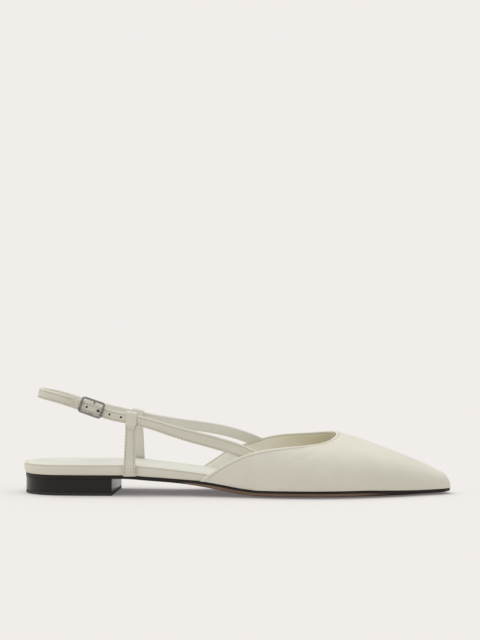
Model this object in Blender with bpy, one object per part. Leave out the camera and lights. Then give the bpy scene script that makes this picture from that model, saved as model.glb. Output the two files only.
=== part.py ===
"""Sling back flat, the right shoe of a pair.

A pointed leather upper with cut-away sides, a sling strap round the heel that runs through two upright
loops, a centre-bar buckle on the outer side, and a thin leather sole on a low block heel.
+X is the toe, -Y is the outer (lateral) side, +Z is up, and the floor is z = 0. Lengths are in metres.
"""

import math

import bpy
import numpy as np

# Overall sizes
LENGTH = 0.270          # back of the footbed rim to the tip of the toe
BALL_WIDTH = 0.0750     # footbed at the ball
WAIST_WIDTH = 0.0490    # footbed at the waist
SEAT_WIDTH = 0.0540     # footbed at the heel seat
THROAT_HEIGHT = 0.0384  # floor to the ridge of the upper at its throat
GAP = 0.0003            # clearance between pieces that touch

# Heel and sole
TOP_LIFT = 0.0020       # wearing piece under the heel
HEEL_BLOCK = 0.0079     # height of the block
HEEL_LENGTH = 0.0592    # back of the shoe to the heel breast
HEEL_INSET = 0.0005     # heel inside the edge of the rim
HEEL_EDGE = 0.0004      # rounding of the heel's edges
BREAST_STEP = 0.0010    # outline points nearer to the breast than this are left out
SOLE_SUBSTANCE = 0.0032  # thickness of the sole's edge at the ball
SOLE_CROWN = 0.0017     # how far the sole's edge curls up from the floor at the ball
SOLE_INSET = 0.0003     # sole edge inside what it carries
SOLE_FACE = 0.0013      # upright face of the sole's edge, above its bevel
SOLE_EDGE = 0.0002      # softening of the sole's corners
BEVEL_INSET = 0.0017    # how far the bevel under that face runs in, at the ball
BEVEL_KNEE = (0.45, 0.34)  # shares of the inset and of the height where the bevel bends
TREAD_FLAT = 0.55       # share of the half-width over which the tread is level
TOE_SPRING = 0.0020     # underside of the sole at the toe tip
UPPER_STARTS = 0.36     # share of the length from which the sole widens to carry the upper
UPPER_BLEND = 0.10

# Footbed
RIM_HEIGHT = 0.0064     # wrapped side of the footbed at the heel
RIM_FLARE = 0.0011      # the rim's top outside its foot, at the heel
RIM_ROLL = 0.0011       # radius of the rolled edge
ROLL_SHARE = 0.3        # most of the side's height that the roll takes
FOOT_TUCK = 0.0006      # foot of the side, turned in
FOOT_RISE = 0.0004
SOCK_RECESS = 0.0016    # depth of the tray inside the rolled edge
RECESS_SHARE = 0.55     # most of the side's height that the tray takes
SOCK_SINK = 0.0002      # edge of the sock below the rolled edge
SOCK_CROWN = 0.0007     # padding in the middle of the sock
SOCK_EDGE = 0.0006      # rounding of the sock's edge
DRAFT = 0.0001          # slope of the tray's wall and of the sock's

# Upper
WALL = 0.0016           # leather and lining together
TOE_POINT = 0.0042      # plan radius of the footbed's toe
TOE_ROUND = 0.0070      # side radius of the upper's toe
WALL_BULGE = 0.0010     # how far the wall swells over the sole's edge
BULGE_ANGLE = 1.1       # angle up the wall, in radians, where the swell ends
BULGE_FADE = 0.0200     # half-width of the toe below which it fades
TIP_TRIM = 0.00002      # last row of the upper, short of the very tip
RIDGE_SHIFT = 0.0060    # ridge towards the inner side, at the throat

# Sling strap
STRAP_THICKNESS = 0.0018
SLING_WIDTH = 0.0064    # at the heel and the buckle
STRAP_WIDTH = 0.0072    # at the upper
TAIL_THICKNESS = 0.0010  # skived end inside the upper
TAIL_GAP = 0.00055      # clearance of that end to the upper's inside
EDGE_ROUND = 0.0005     # rounding of a strap's corners
LOOP_HEIGHT = 0.0473    # floor to the middle of the sling where the uprights hold it
LOOP_DRAW = 0.0060      # sling inside the rim's edge there
BACK_INSET = 0.0101     # sling's back in front of the back of the rim
BACK_HEIGHT = 0.0629    # floor to the middle of the sling at the back
STRAP_BOW = 0.0014      # rise of the front straps over a straight line
SIDE_LEAN = math.radians(10)   # sling's top edge leaning in, at the upper
BACK_LEAN = math.radians(15)   # and at the back
SKIVED_CORNER = 0.6     # most of a strap's thickness that its rounding takes
TIP_BLUNT = 0.35        # width left at the strap's very tip

# Uprights
UPRIGHT_STATION = 0.261  # share of the length from the heel
UPRIGHT_WIDTH = 0.0064
UPRIGHT_FOOT = 0.0078   # width where it lies on the rim
UPRIGHT_THICKNESS = 0.0019
LOOP_LEAF = 0.0010      # leather round the sling
LOOP_SLACK = 0.0006     # room over the sling in its loop
LOOP_CORNER = 0.0003
SLOT_REACH = 0.0090     # half the length of the form that cuts the loop's slot

# Buckle
BUCKLE_FROM_LOOP = 0.0258  # middle of the buckle from the upright, along the sling
FRAME_LENGTH = 0.0155
FRAME_WIDTH = 0.0106
FRAME_LIFT = 0.0006     # middle of the frame above the middle of the strap
FRAME_WIRE = 0.0013
FRAME_CORNER = 0.0019
LUG = (0.0016, 0.0009)  # lug that joins the bar to the frame: along the strap, across it
BAR_RADIUS = 0.00045
PRONG_WIRE = 0.0007
TONGUE_THICKNESS = 0.0012  # outer strap in the buckle
LEAF_THICKNESS = 0.0007    # folded end of the inner strap round the bar
FOLD_START = 0.0015        # the fold leaves the bar here, and reaches its level a run later
FOLD_RUN = 0.0060
FOLD_LENGTH = 0.0120
TIP_LENGTH = 0.0118        # strap tip past the middle of the buckle
HOLE_PITCH = 0.0076
HOLE_RADIUS = 0.0007
PRONG_HOLE = 0.0044        # the hole in use, from the middle of the buckle
PRONG_HOLE_RADIUS = 0.00125
SLIT_WIDTH = 0.0016
SLIT_ROOM = 0.0020         # slit beyond the folded leather
SLIT_SHIFT = -0.0008       # towards the prong
# Prong ahead of its ring: run from the hole in use, and height as a share of the way from the bar to the
# top of the frame.
STEM = (
    (-0.0032, 0.000),
    (-0.0014, 0.000),
    (-0.0008, 0.030),
    (-0.0005, 0.150),
    (0.0003, 0.560),
    (0.0009, 0.760),
    (0.0017, 0.940),
    (0.0025, 1.000),
    (0.0037, 0.970),
)

# Stations are shares of LENGTH from the heel.
# Footbed outline: station, the width that the row follows, half-width as a share of it, swing of the
# middle line to the inner side as a share of BALL_WIDTH.
OUTLINE = (
    (0.00, SEAT_WIDTH, 0.485, 0.004),
    (0.10, SEAT_WIDTH, 0.497, 0.002),
    (0.20, SEAT_WIDTH, 0.492, -0.006),
    (0.30, WAIST_WIDTH, 0.510, -0.020),
    (0.40, WAIST_WIDTH, 0.500, -0.036),
    (0.50, BALL_WIDTH, 0.375, -0.044),
    (0.60, BALL_WIDTH, 0.462, -0.032),
    (0.67, BALL_WIDTH, 0.494, -0.014),
    (0.73, BALL_WIDTH, 0.488, 0.004),
    (0.80, BALL_WIDTH, 0.425, 0.018),
    (0.88, BALL_WIDTH, 0.298, 0.026),
    (0.95, BALL_WIDTH, 0.152, 0.028),
    (1.00, BALL_WIDTH, 0.052, 0.028),
)
# Sole from the side: station, underside as a share of the seat height, underside as a share of
# TOE_SPRING, edge thickness as a share of SOLE_SUBSTANCE, curl as a share of SOLE_CROWN.
SOLE = (
    (0.000, 1.000, 0.0, 0.75, 0.00),
    (0.245, 1.000, 0.0, 0.75, 0.00),
    (0.307, 0.880, 0.0, 0.78, 0.12),
    (0.353, 0.780, 0.0, 0.79, 0.24),
    (0.400, 0.640, 0.0, 0.86, 0.42),
    (0.450, 0.425, 0.0, 1.02, 0.70),
    (0.480, 0.275, 0.0, 1.04, 0.84),
    (0.515, 0.120, 0.0, 1.03, 0.90),
    (0.560, 0.012, 0.0, 1.00, 0.96),
    (0.600, 0.000, 0.00, 1.00, 1.00),
    (0.740, 0.000, 0.00, 1.00, 1.00),
    (0.800, 0.000, 0.06, 1.02, 0.88),
    (0.880, 0.000, 0.28, 0.88, 0.46),
    (0.930, 0.000, 0.46, 0.76, 0.24),
    (0.975, 0.000, 0.68, 0.70, 0.12),
    (1.000, 0.000, 1.00, 0.62, 0.00),
)
# Footbed side: station, its height as a share of RIM_HEIGHT, flare as a share of RIM_FLARE.
RIM = (
    (0.00, 1.00, 1.0),
    (0.25, 1.00, 0.8),
    (0.31, 0.97, 0.4),
    (0.36, 0.88, 0.1),
    (0.42, 0.76, -0.1),
    (0.50, 0.52, -0.4),
    (0.60, 0.42, -0.5),
    (1.00, 0.30, -0.6),
)
# Last above the sole: station, ridge height as a share of THROAT_HEIGHT, ridge shift as a share of
# RIDGE_SHIFT, flank and crown powers of the section.
SECTIONS = (
    (0.36, 1.76, 0.9, 1.05, 0.86),
    (0.42, 1.64, 1.0, 1.05, 0.86),
    (0.50, 1.455, 1.0, 1.05, 0.86),
    (0.60, 1.215, 1.0, 1.05, 0.86),
    (0.66, 1.095, 1.0, 1.05, 0.86),
    (0.735, 1.000, 1.0, 1.03, 0.86),
    (0.789, 0.890, 0.85, 1.00, 0.86),
    (0.835, 0.775, 0.6, 0.96, 0.87),
    (0.881, 0.652, 0.4, 0.92, 0.88),
    (0.928, 0.525, 0.2, 0.88, 0.90),
    (0.951, 0.452, 0.1, 0.86, 0.90),
    (0.974, 0.372, 0.0, 0.85, 0.90),
    (1.000, 0.320, 0.0, 0.85, 0.90),
)
# Edge of the upper from the outer side over the throat to the inner side: station, height as a share
# of the last's own height there, side of the ridge (-1 outer, +1 inner).
TOPLINE = (
    (0.4220, 0.000, -1),
    (0.4440, 0.099, -1),
    (0.4760, 0.240, -1),
    (0.5100, 0.376, -1),
    (0.5430, 0.484, -1),
    (0.5830, 0.578, -1),
    (0.6240, 0.663, -1),
    (0.6680, 0.743, -1),
    (0.6950, 0.795, -1),
    (0.7165, 0.858, -1),
    (0.7300, 0.935, -1),
    (0.7300, 0.999, 1),
    (0.7150, 0.970, 1),
    (0.6950, 0.930, 1),
    (0.6710, 0.885, 1),
    (0.6240, 0.790, 1),
    (0.5760, 0.670, 1),
    (0.5480, 0.585, 1),
    (0.5100, 0.463, 1),
    (0.4676, 0.314, 1),
    (0.4480, 0.224, 1),
    (0.4150, 0.092, 1),
    (0.3900, 0.000, 1),
)
# Where a front strap lies in the upper, on its outer and its inner side: station and height share of
# its end, then of the place where it crosses the edge.
STRAP_ENDS = {
    -1: ((0.557, 0.432), (0.527, 0.478)),
    1: ((0.545, 0.556), (0.524, 0.588)),
}
# A front strap between the upper and its loop: share of the way, share of STRAP_BOW, outward bow as a
# share of STRAP_BOW.
STRAP_ROUTE = {
    -1: ((0.28, 0.7, 0.3), (0.62, 0.35, 0.7)),
    1: ((0.26, 1.2, 0.5), (0.62, 0.3, 0.5)),
}
# The sling behind its loop: share of the way back, of the rise, and of the half-width at the loop.
SLING_ROUTE = {
    -1: (
        (0.17, 0.12, 0.94),
        (0.46, 0.46, 0.865),
        (0.60, 0.63, 0.83),
        (0.76, 0.81, 0.73),
        (0.90, 0.93, 0.50),
    ),
    1: (
        (0.30, 0.27, 0.90),
        (0.60, 0.57, 0.83),
        (0.76, 0.77, 0.73),
        (0.90, 0.92, 0.50),
    ),
}

# How finely the forms are divided
CAP_STEPS = 6
BODY_STEPS = 20
UPPER_ALONG = 26
UPPER_ACROSS = 30


def steady_curve(rows, column):
    """Monotone cubic through one column of a table, so a level stretch stays level."""
    x = np.array([row[0] for row in rows], float)
    y = np.array([row[column] for row in rows], float)
    step = np.diff(x)
    rise = np.diff(y) / step
    slope = np.zeros(len(x))
    slope[0], slope[-1] = rise[0], rise[-1]
    for i in range(1, len(x) - 1):
        if rise[i - 1] * rise[i] > 0:
            near, far = 2 * step[i] + step[i - 1], step[i] + 2 * step[i - 1]
            slope[i] = (near + far) / (near / rise[i - 1] + far / rise[i])

    def value(station):
        s = np.clip(station, x[0], x[-1])
        k = np.clip(np.searchsorted(x, s, side="right") - 1, 0, len(x) - 2)
        t = (s - x[k]) / step[k]
        return (
            y[k] * (1 + 2 * t) * (1 - t) ** 2
            + y[k + 1] * t * t * (3 - 2 * t)
            + step[k] * (slope[k] * t * (1 - t) ** 2 - slope[k + 1] * t * t * (1 - t))
        )

    return value


def smooth_curve(knots, values):
    """Natural cubic spline through numbers or points."""
    x = np.asarray(knots, float)
    y = np.asarray(values, float).reshape(len(x), -1)
    step = np.diff(x)
    matrix = np.eye(len(x))
    right = np.zeros_like(y)
    for i in range(1, len(x) - 1):
        matrix[i, i - 1 : i + 2] = step[i - 1], 2 * (step[i - 1] + step[i]), step[i]
        right[i] = 6 * ((y[i + 1] - y[i]) / step[i] - (y[i] - y[i - 1]) / step[i - 1])
    bend = np.linalg.solve(matrix, right)

    def value(at):
        s = np.asarray(at, float)
        k = np.clip(np.searchsorted(x, s, side="right") - 1, 0, len(x) - 2)
        b = ((s - x[k]) / step[k])[..., None]
        a = 1 - b
        square = (step[k] ** 2)[..., None] / 6
        found = a * y[k] + b * y[k + 1] + ((a**3 - a) * bend[k] + (b**3 - b) * bend[k + 1]) * square
        return found[..., 0] if y.shape[1] == 1 else found

    return value


def unit(vectors):
    """The vectors at length one."""
    return vectors / np.linalg.norm(vectors, axis=-1, keepdims=True)


def round_end(distance, radius):
    """0 at a rounded end, rising on a quarter circle to 1 at one radius from it."""
    return np.sqrt(np.clip(1 - (1 - np.clip(distance / radius, 0, 1)) ** 2, 0, 1))


def ease(t):
    """0 to 1 with level ends."""
    t = np.clip(t, 0, 1)
    return t * t * (3 - 2 * t)


# Curves of the footbed and the sole, as functions of x from the heel
SEAT_HEIGHT = TOP_LIFT + GAP + HEEL_BLOCK + GAP
FOOTBED_START = RIM_FLARE
FOOTBED_END = LENGTH - WALL - GAP

half_width_at = smooth_curve([r[0] for r in OUTLINE], [r[1] * r[2] for r in OUTLINE])
swing_at = smooth_curve([r[0] for r in OUTLINE], [r[3] * BALL_WIDTH for r in OUTLINE])
seat_share_at, spring_share_at, substance_share_at, crown_share_at = (
    steady_curve(SOLE, column) for column in (1, 2, 3, 4)
)
rim_share_at, flare_share_at = (steady_curve(RIM, column) for column in (1, 2))
ridge_share_at, shift_share_at, flank_at, crest_at = (
    smooth_curve([r[0] for r in SECTIONS], [r[column] for r in SECTIONS]) for column in (1, 2, 3, 4)
)


def middle(x):
    """Middle line of the footbed in plan."""
    return swing_at(x / LENGTH)


def footbed_half(x):
    """Half the footbed's width, with its round heel and its pointed toe."""
    heel = round_end(x - FOOTBED_START, SEAT_WIDTH / 2)
    toe = round_end(FOOTBED_END - x, TOE_POINT)
    return half_width_at(x / LENGTH) * heel * toe


def underside(x):
    """Sole's underside along the middle."""
    s = x / LENGTH
    return SEAT_HEIGHT * seat_share_at(s) + TOE_SPRING * spring_share_at(s)


def curl(x):
    """How far the sole's edge lies above its middle."""
    return SOLE_CROWN * crown_share_at(x / LENGTH)


def substance(x):
    """Thickness of the sole at its edge."""
    return SOLE_SUBSTANCE * substance_share_at(x / LENGTH)


def feather(x):
    """Top of the sole's edge, where the upper and the rim meet it."""
    return underside(x) + curl(x) + substance(x)


def rim_top(x):
    """Top of the rolled edge of the footbed."""
    return feather(x) + GAP + RIM_HEIGHT * rim_share_at(x / LENGTH)


def flare(x):
    """How far the rim's top stands outside its foot."""
    return RIM_FLARE * flare_share_at(x / LENGTH)


def plan_stations(cap, body):
    """Stations along the footbed, close together at its two round ends."""
    turn = np.linspace(0, np.pi / 2, cap + 1)
    heel = FOOTBED_START + SEAT_WIDTH / 2 * (1 - np.cos(turn))
    toe = FOOTBED_END - TOE_POINT * (1 - np.cos(turn[::-1]))
    return np.concatenate([heel[:-1], np.linspace(heel[-1], toe[0], body + 1), toe[1:]])


def footbed_ring(x):
    """Footbed outline in plan: outer side from heel to toe, then the inner side back."""
    outer = np.stack([x, middle(x) - footbed_half(x)], axis=1)
    inner = np.stack([x, middle(x) + footbed_half(x)], axis=1)
    return np.concatenate([outer, inner[-2:0:-1]])


def grown(ring, by):
    """A plan outline moved outwards by a distance, square to itself."""
    along = unit(np.roll(ring, -1, axis=0) - np.roll(ring, 1, axis=0))
    out = np.stack([along[:, 1], -along[:, 0]], axis=1)
    return ring + out * np.broadcast_to(by, len(ring))[:, None]


FINE_CAP, FINE_BODY = 60, 200   # stations for reading the upper's outline
LASTED = grown(footbed_ring(plan_stations(FINE_CAP, FINE_BODY)), GAP + WALL)
TIP = FINE_CAP * 2 + FINE_BODY
LASTED_OUTER, LASTED_INNER = LASTED[: TIP + 1], LASTED[: TIP - 1 : -1]


def upper_point(x, angle):
    """Outside of the last: angle 0 at the outer edge, pi / 2 on the ridge, pi at the inner edge."""
    s = x / LENGTH
    outer_y = np.interp(x, *LASTED_OUTER.T)
    inner_y = np.interp(x, *LASTED_INNER.T)
    half = (inner_y - outer_y) / 2
    ridge_y = (inner_y + outer_y) / 2 + RIDGE_SHIFT * shift_share_at(s)
    outer = ridge_y - outer_y
    inner = inner_y - ridge_y
    reach = np.abs(np.cos(angle)) ** flank_at(s)
    swell = np.sin(np.pi * np.clip(np.minimum(angle, np.pi - angle) / BULGE_ANGLE, 0, 1))
    swell = WALL_BULGE * swell * np.clip(half / BULGE_FADE, 0, 1)
    side = np.where(angle < np.pi / 2, -outer * reach - swell, inner * reach + swell)
    foot = feather(x) + GAP
    height = (THROAT_HEIGHT * ridge_share_at(s) - foot) * round_end(LENGTH - x, TOE_ROUND)
    rise = height * np.clip(np.sin(angle), 0, 1) ** crest_at(s)
    return np.stack([x, ridge_y + side, foot + rise], axis=-1)


def angle_of(station, share, side):
    """Angle on the last at a height given as a share of the last's own height."""
    angle = np.arcsin(share ** (1 / crest_at(station)))
    return angle if side < 0 else np.pi - angle


def upper_frame(station, share, side):
    """A point on the outside of the upper and the direction straight out of it there."""
    x, angle, small = station * LENGTH, angle_of(station, share, side), 1e-4
    along = upper_point(x + small, angle) - upper_point(x - small, angle)
    across = upper_point(x, angle + small) - upper_point(x, angle - small)
    return upper_point(x, angle), unit(np.cross(along, across))


def mesh_object(name, points, faces, material, smooth_deg=35):
    """A closed mesh as a named object, moved so that the origin is below the middle of the shoe."""
    mesh = bpy.data.meshes.new(name)
    mesh.from_pydata((np.asarray(points) - ORIGIN).tolist(), [], [list(map(int, f)) for f in faces])
    mesh.shade_smooth()
    mesh.set_sharp_from_angle(angle=math.radians(smooth_deg))
    item = bpy.data.objects.new(name, mesh)
    bpy.context.scene.collection.objects.link(item)
    if material:
        mesh.materials.append(material)
    return item


def leather(name, colour, roughness, metallic=0.0):
    """A plain surface for one kind of piece."""
    made = bpy.data.materials.new(name)
    made.use_nodes = True
    shader = made.node_tree.nodes["Principled BSDF"]
    shader.inputs["Base Color"].default_value = (*colour, 1.0)
    shader.inputs["Roughness"].default_value = roughness
    shader.inputs["Metallic"].default_value = metallic
    return made


def band(start, end, count):
    """Faces between two closed rings of count points each."""
    return [
        (start + i, start + (i + 1) % count, end + (i + 1) % count, end + i) for i in range(count)
    ]


def raised(ring, height):
    """A plan outline as points in space."""
    return np.column_stack([ring, np.broadcast_to(height, len(ring))])


def cover(points, faces, start, ring, shares, height, upward):
    """Closes a ring with rows of points across it: height(x, share) gives their height."""
    last = len(ring) // 2
    rows = {0: [start] * (len(shares) + 2), last: [start + last] * (len(shares) + 2)}
    for k in range(1, last):
        a, b = ring[k], ring[len(ring) - k]
        row = [start + k]
        for share in shares:
            p = (a + b) / 2 + (b - a) / 2 * share
            row.append(len(points))
            points.append((p[0], p[1], height(p[0], abs(share))))
        rows[k] = [*row, start + len(ring) - k]
    for k in range(last):
        for j in range(len(shares) + 1):
            face = (rows[k][j], rows[k + 1][j], rows[k + 1][j + 1], rows[k][j + 1])
            face = list(dict.fromkeys(face))
            if len(face) > 2:
                faces.append(face if upward else face[::-1])


def plate(name, rings, below, above, material):
    """A flat piece from plan rings at rising heights. below and above are (shares, height)."""
    count = len(rings[0])
    points = [tuple(p) for ring in rings for p in ring]
    faces = []
    for level in range(len(rings) - 1):
        faces += band(level * count, (level + 1) * count, count)
    cover(points, faces, 0, np.array(rings[0]), *below, upward=False)
    cover(points, faces, (len(rings) - 1) * count, np.array(rings[-1]), *above, upward=True)
    return mesh_object(name, points, faces, material)


ACROSS = (-0.82, -0.55, 0.0, 0.55, 0.82)


def dish(x, share):
    """Upper face of the sole, lower in the middle where its edge curls up."""
    return feather(x) - curl(x) * (1 - share**2)


def make_outsole(ring, material):
    """Thin sole: an upright edge, a bevel under it, and a level tread at the ball."""
    x = ring[:, 0]
    carries_upper = ease((x / LENGTH - UPPER_STARTS) / UPPER_BLEND)
    edge = grown(ring, carries_upper * (GAP + WALL) - SOLE_INSET)
    bottom = underside(x) + curl(x)
    thick = substance(x)
    bevel_top = bottom + thick - SOLE_FACE
    run_in = BEVEL_INSET * crown_share_at(x / LENGTH)
    knee_in, knee_up = BEVEL_KNEE

    def tread(at, share):
        return underside(at) + curl(at) * np.clip((share - TREAD_FLAT) / (1 - TREAD_FLAT), 0, 1) ** 2

    rings = [
        raised(grown(edge, -run_in - SOLE_EDGE), bottom),
        raised(grown(edge, -run_in * knee_in - SOLE_EDGE / 2), bottom + (bevel_top - bottom) * knee_up),
        raised(grown(edge, -SOLE_EDGE / 2), bevel_top),
        raised(edge, bottom + thick - SOLE_FACE / 2),
        raised(grown(edge, -SOLE_EDGE), bottom + thick),
    ]
    return plate("outsole", rings, (ACROSS, tread), (ACROSS, dish), material)


def make_insole_board(ring, material):
    """Footbed: a wrapped side that flares at the heel, a rolled edge and a tray for the sock."""
    x = ring[:, 0]
    foot = feather(x) + GAP
    top = rim_top(x)
    roll = roll_radius(x)
    out = flare(x)
    rings = [
        raised(grown(ring, -FOOT_TUCK), foot),
        raised(ring, foot + FOOT_RISE),
    ]
    for turn in (0, 45, 90, 135, 170):
        a = math.radians(turn)
        rings.append(raised(grown(ring, out - roll * (1 - math.cos(a))), top - roll * (1 - math.sin(a))))
    tray = grown(ring, out - 2 * roll - DRAFT)
    rings.append(raised(tray, tray_floor(tray[:, 0])))

    def bottom(at, share):
        return dish(at, share) + GAP

    def floor(at, share):
        return tray_floor(at)

    return plate("insole_board", rings, (ACROSS, bottom), ((0.0,), floor), material)


def roll_radius(x):
    """Radius of the footbed's rolled edge."""
    return np.minimum(RIM_ROLL, ROLL_SHARE * (rim_top(x) - feather(x) - GAP))


def tray_floor(x):
    """Floor of the footbed's tray."""
    foot = feather(x) + GAP
    return rim_top(x) - np.minimum(SOCK_RECESS, RECESS_SHARE * (rim_top(x) - foot))


def make_sock(ring, material):
    """Padded sock inside the rolled edge."""
    x = ring[:, 0]
    edge = grown(ring, flare(x) - 2 * roll_radius(x) - DRAFT - GAP)
    low = tray_floor(edge[:, 0]) + GAP
    high = rim_top(x) - SOCK_SINK
    rings = [
        raised(grown(edge, -DRAFT), low),
        raised(edge, (low + high) / 2),
        raised(grown(edge, -SOCK_EDGE), high),
    ]

    def bottom(at, share):
        return tray_floor(at) + GAP

    def pad(at, share):
        return rim_top(at) - SOCK_SINK + SOCK_CROWN * (1 - share**2)

    return plate("sock_lining", rings, ((0.0,), bottom), (ACROSS, pad), material)


def heel_ring(ring):
    """Heel outline: the footbed's outline behind the breast, closed straight across."""
    half = len(ring) // 2
    breast = HEEL_LENGTH
    edge = grown(ring, -HEEL_INSET)
    outer = [p for p in edge[: half + 1] if p[0] < breast - BREAST_STEP]
    inner = [p for p in edge[half:] if p[0] < breast - BREAST_STEP]
    for side, found in ((-1, outer), (1, inner)):
        corner = (breast, middle(breast) + side * (footbed_half(breast) - HEEL_INSET))
        found.insert(len(found) if side < 0 else 0, corner)
    return np.array([*outer, *inner])


def heel_solid(name, low, high, ring, material):
    """A slab of the heel with lightly rounded edges."""
    count = len(ring)
    levels = (
        (-HEEL_EDGE, low),
        (0.0, low + HEEL_EDGE),
        (0.0, high - HEEL_EDGE),
        (-HEEL_EDGE, high),
    )
    points = np.concatenate([raised(grown(ring, by), z) for by, z in levels])
    faces = [tuple(range(count))[::-1]]
    for level in range(len(levels) - 1):
        faces += band(level * count, (level + 1) * count, count)
    faces.append(tuple(range((len(levels) - 1) * count, len(levels) * count)))
    return mesh_object(name, points, faces, material, 30)


def topline(count):
    """Edge of the upper as stations and angles, evenly spaced along it."""
    rows = [(s * LENGTH, angle_of(s, share, side)) for s, share, side in TOPLINE]
    placed = np.array([upper_point(x, angle) for x, angle in rows])
    run = np.concatenate([[0], np.cumsum(np.linalg.norm(np.diff(placed, axis=0), axis=1))])
    return smooth_curve(run, rows)(np.linspace(0, run[-1], count))


def upper_grid():
    """Outside of the upper as a grid: rows run from its edge to the toe, columns across the last."""
    edge = topline(UPPER_ACROSS + 1)
    start, angle = edge[:, 0], np.clip(edge[:, 1], 0, np.pi)
    spread = np.sin(np.linspace(0, 1, UPPER_ALONG + 1) * np.pi / 2)
    spread[-1] = 1 - TIP_TRIM / (LENGTH - start.max())
    x = start[None, :] + (LENGTH - start[None, :]) * spread[:, None]
    return upper_point(x, np.broadcast_to(angle, x.shape))


def make_vamp(outside, material):
    """The upper: the last's outside and the same form one wall further in, joined along every edge."""
    along = np.gradient(outside, axis=0)
    across = np.gradient(outside, axis=1)
    out = np.cross(along, across)
    out[:, [0, -1], 2] = 0
    inside = outside - unit(out) * WALL
    rows, columns = outside.shape[:2]
    total = rows * columns
    points = np.concatenate([outside.reshape(-1, 3), inside.reshape(-1, 3)])

    def at(i, j, layer=0):
        return layer * total + i * columns + j

    faces = []
    for i in range(rows - 1):
        for j in range(columns - 1):
            faces.append((at(i, j), at(i + 1, j), at(i + 1, j + 1), at(i, j + 1)))
            faces.append((at(i, j, 1), at(i, j + 1, 1), at(i + 1, j + 1, 1), at(i + 1, j, 1)))
        faces.append((at(i, 0), at(i, 0, 1), at(i + 1, 0, 1), at(i + 1, 0)))
        end = columns - 1
        faces.append((at(i, end), at(i + 1, end), at(i + 1, end, 1), at(i, end, 1)))
    for j in range(columns - 1):
        faces.append((at(0, j), at(0, j + 1), at(0, j + 1, 1), at(0, j, 1)))
    tip = rows - 1
    faces.append([at(tip, j) for j in range(columns)][::-1])
    faces.append([at(tip, j, 1) for j in range(columns)])
    faces.append((at(tip, columns - 1), at(tip, 0), at(tip, 0, 1), at(tip, columns - 1, 1)))
    return mesh_object("vamp", points, faces, material, 50)


def loft(name, centres, widths, thicknesses, across, out, material, corner=EDGE_ROUND):
    """A strap: one cut-cornered section for each centre, square to across and out, capped at both ends."""
    centres = np.asarray(centres, float)
    count = len(centres)
    half_w = np.broadcast_to(widths, count)[:, None, None] / 2
    half_t = np.broadcast_to(thicknesses, count)[:, None, None] / 2
    cut_t = np.minimum(corner, half_t * SKIVED_CORNER)
    cut_w = np.minimum(corner, half_w * SKIVED_CORNER)
    corners = ((-1, 0, 1, 1), (0, -1, 1, 1), (0, -1, 1, -1), (-1, 0, 1, -1))
    corners += tuple((a, b, -c, -d) for a, b, c, d in corners)
    order = [
        (half_w + cut_w * a, half_t + cut_t * b, c, d) for a, b, c, d in corners
    ]
    wide = np.concatenate([w * c for w, t, c, d in order], axis=1)
    thick = np.concatenate([t * d for w, t, c, d in order], axis=1)
    points = centres[:, None] + wide * across[:, None] + thick * out[:, None]
    ring = len(corners)
    faces = [tuple(range(ring))[::-1]]
    for i in range(count - 1):
        faces += band(i * ring, (i + 1) * ring, ring)
    faces.append(tuple(range((count - 1) * ring, count * ring)))
    return mesh_object(name, points.reshape(-1, 3), faces, material, 30)


def sling_curve(side):
    """Sling from its end in the upper, through its loop, to the middle of the back: a curve by length."""
    (end, end_out), (edge, edge_out) = (upper_frame(*row, side) for row in STRAP_ENDS[side])
    tail = WALL + TAIL_GAP + TAIL_THICKNESS / 2
    loop_x = UPRIGHT_STATION * LENGTH
    draw = footbed_half(loop_x) - LOOP_DRAW
    loop = np.array([loop_x, middle(loop_x) + side * draw, LOOP_HEIGHT])
    back = np.array([BACK_INSET, middle(BACK_INSET), BACK_HEIGHT])
    edge = edge - edge_out * (WALL + TAIL_GAP + STRAP_THICKNESS / 2)
    points = [end - end_out * tail, edge]
    for share, up, wide in STRAP_ROUTE[side]:
        bow = np.array([0, side * wide, up]) * STRAP_BOW
        points.append(edge + (loop - edge) * share + bow)
    points.append(loop)
    for share, rise, wide in SLING_ROUTE[side]:
        middle_line = loop + (back - loop) * np.array([share, 1, rise])
        points.append(middle_line + np.array([0, (loop[1] - back[1]) * wide, 0]))
    points = np.array([*points, back])
    heading = np.gradient(points, axis=0)
    heading[-1] = (0, -side, 0)
    outs = unit(np.cross((0, 0, side), heading * -1))
    lean = SIDE_LEAN + (BACK_LEAN - SIDE_LEAN) * np.clip((loop[0] - points[:, 0]) / loop[0], 0, 1)
    outs = outs * np.cos(lean)[:, None] + np.outer(np.sin(lean), (0, 0, 1))
    outs[:2] = end_out, edge_out
    return points, outs


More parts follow.
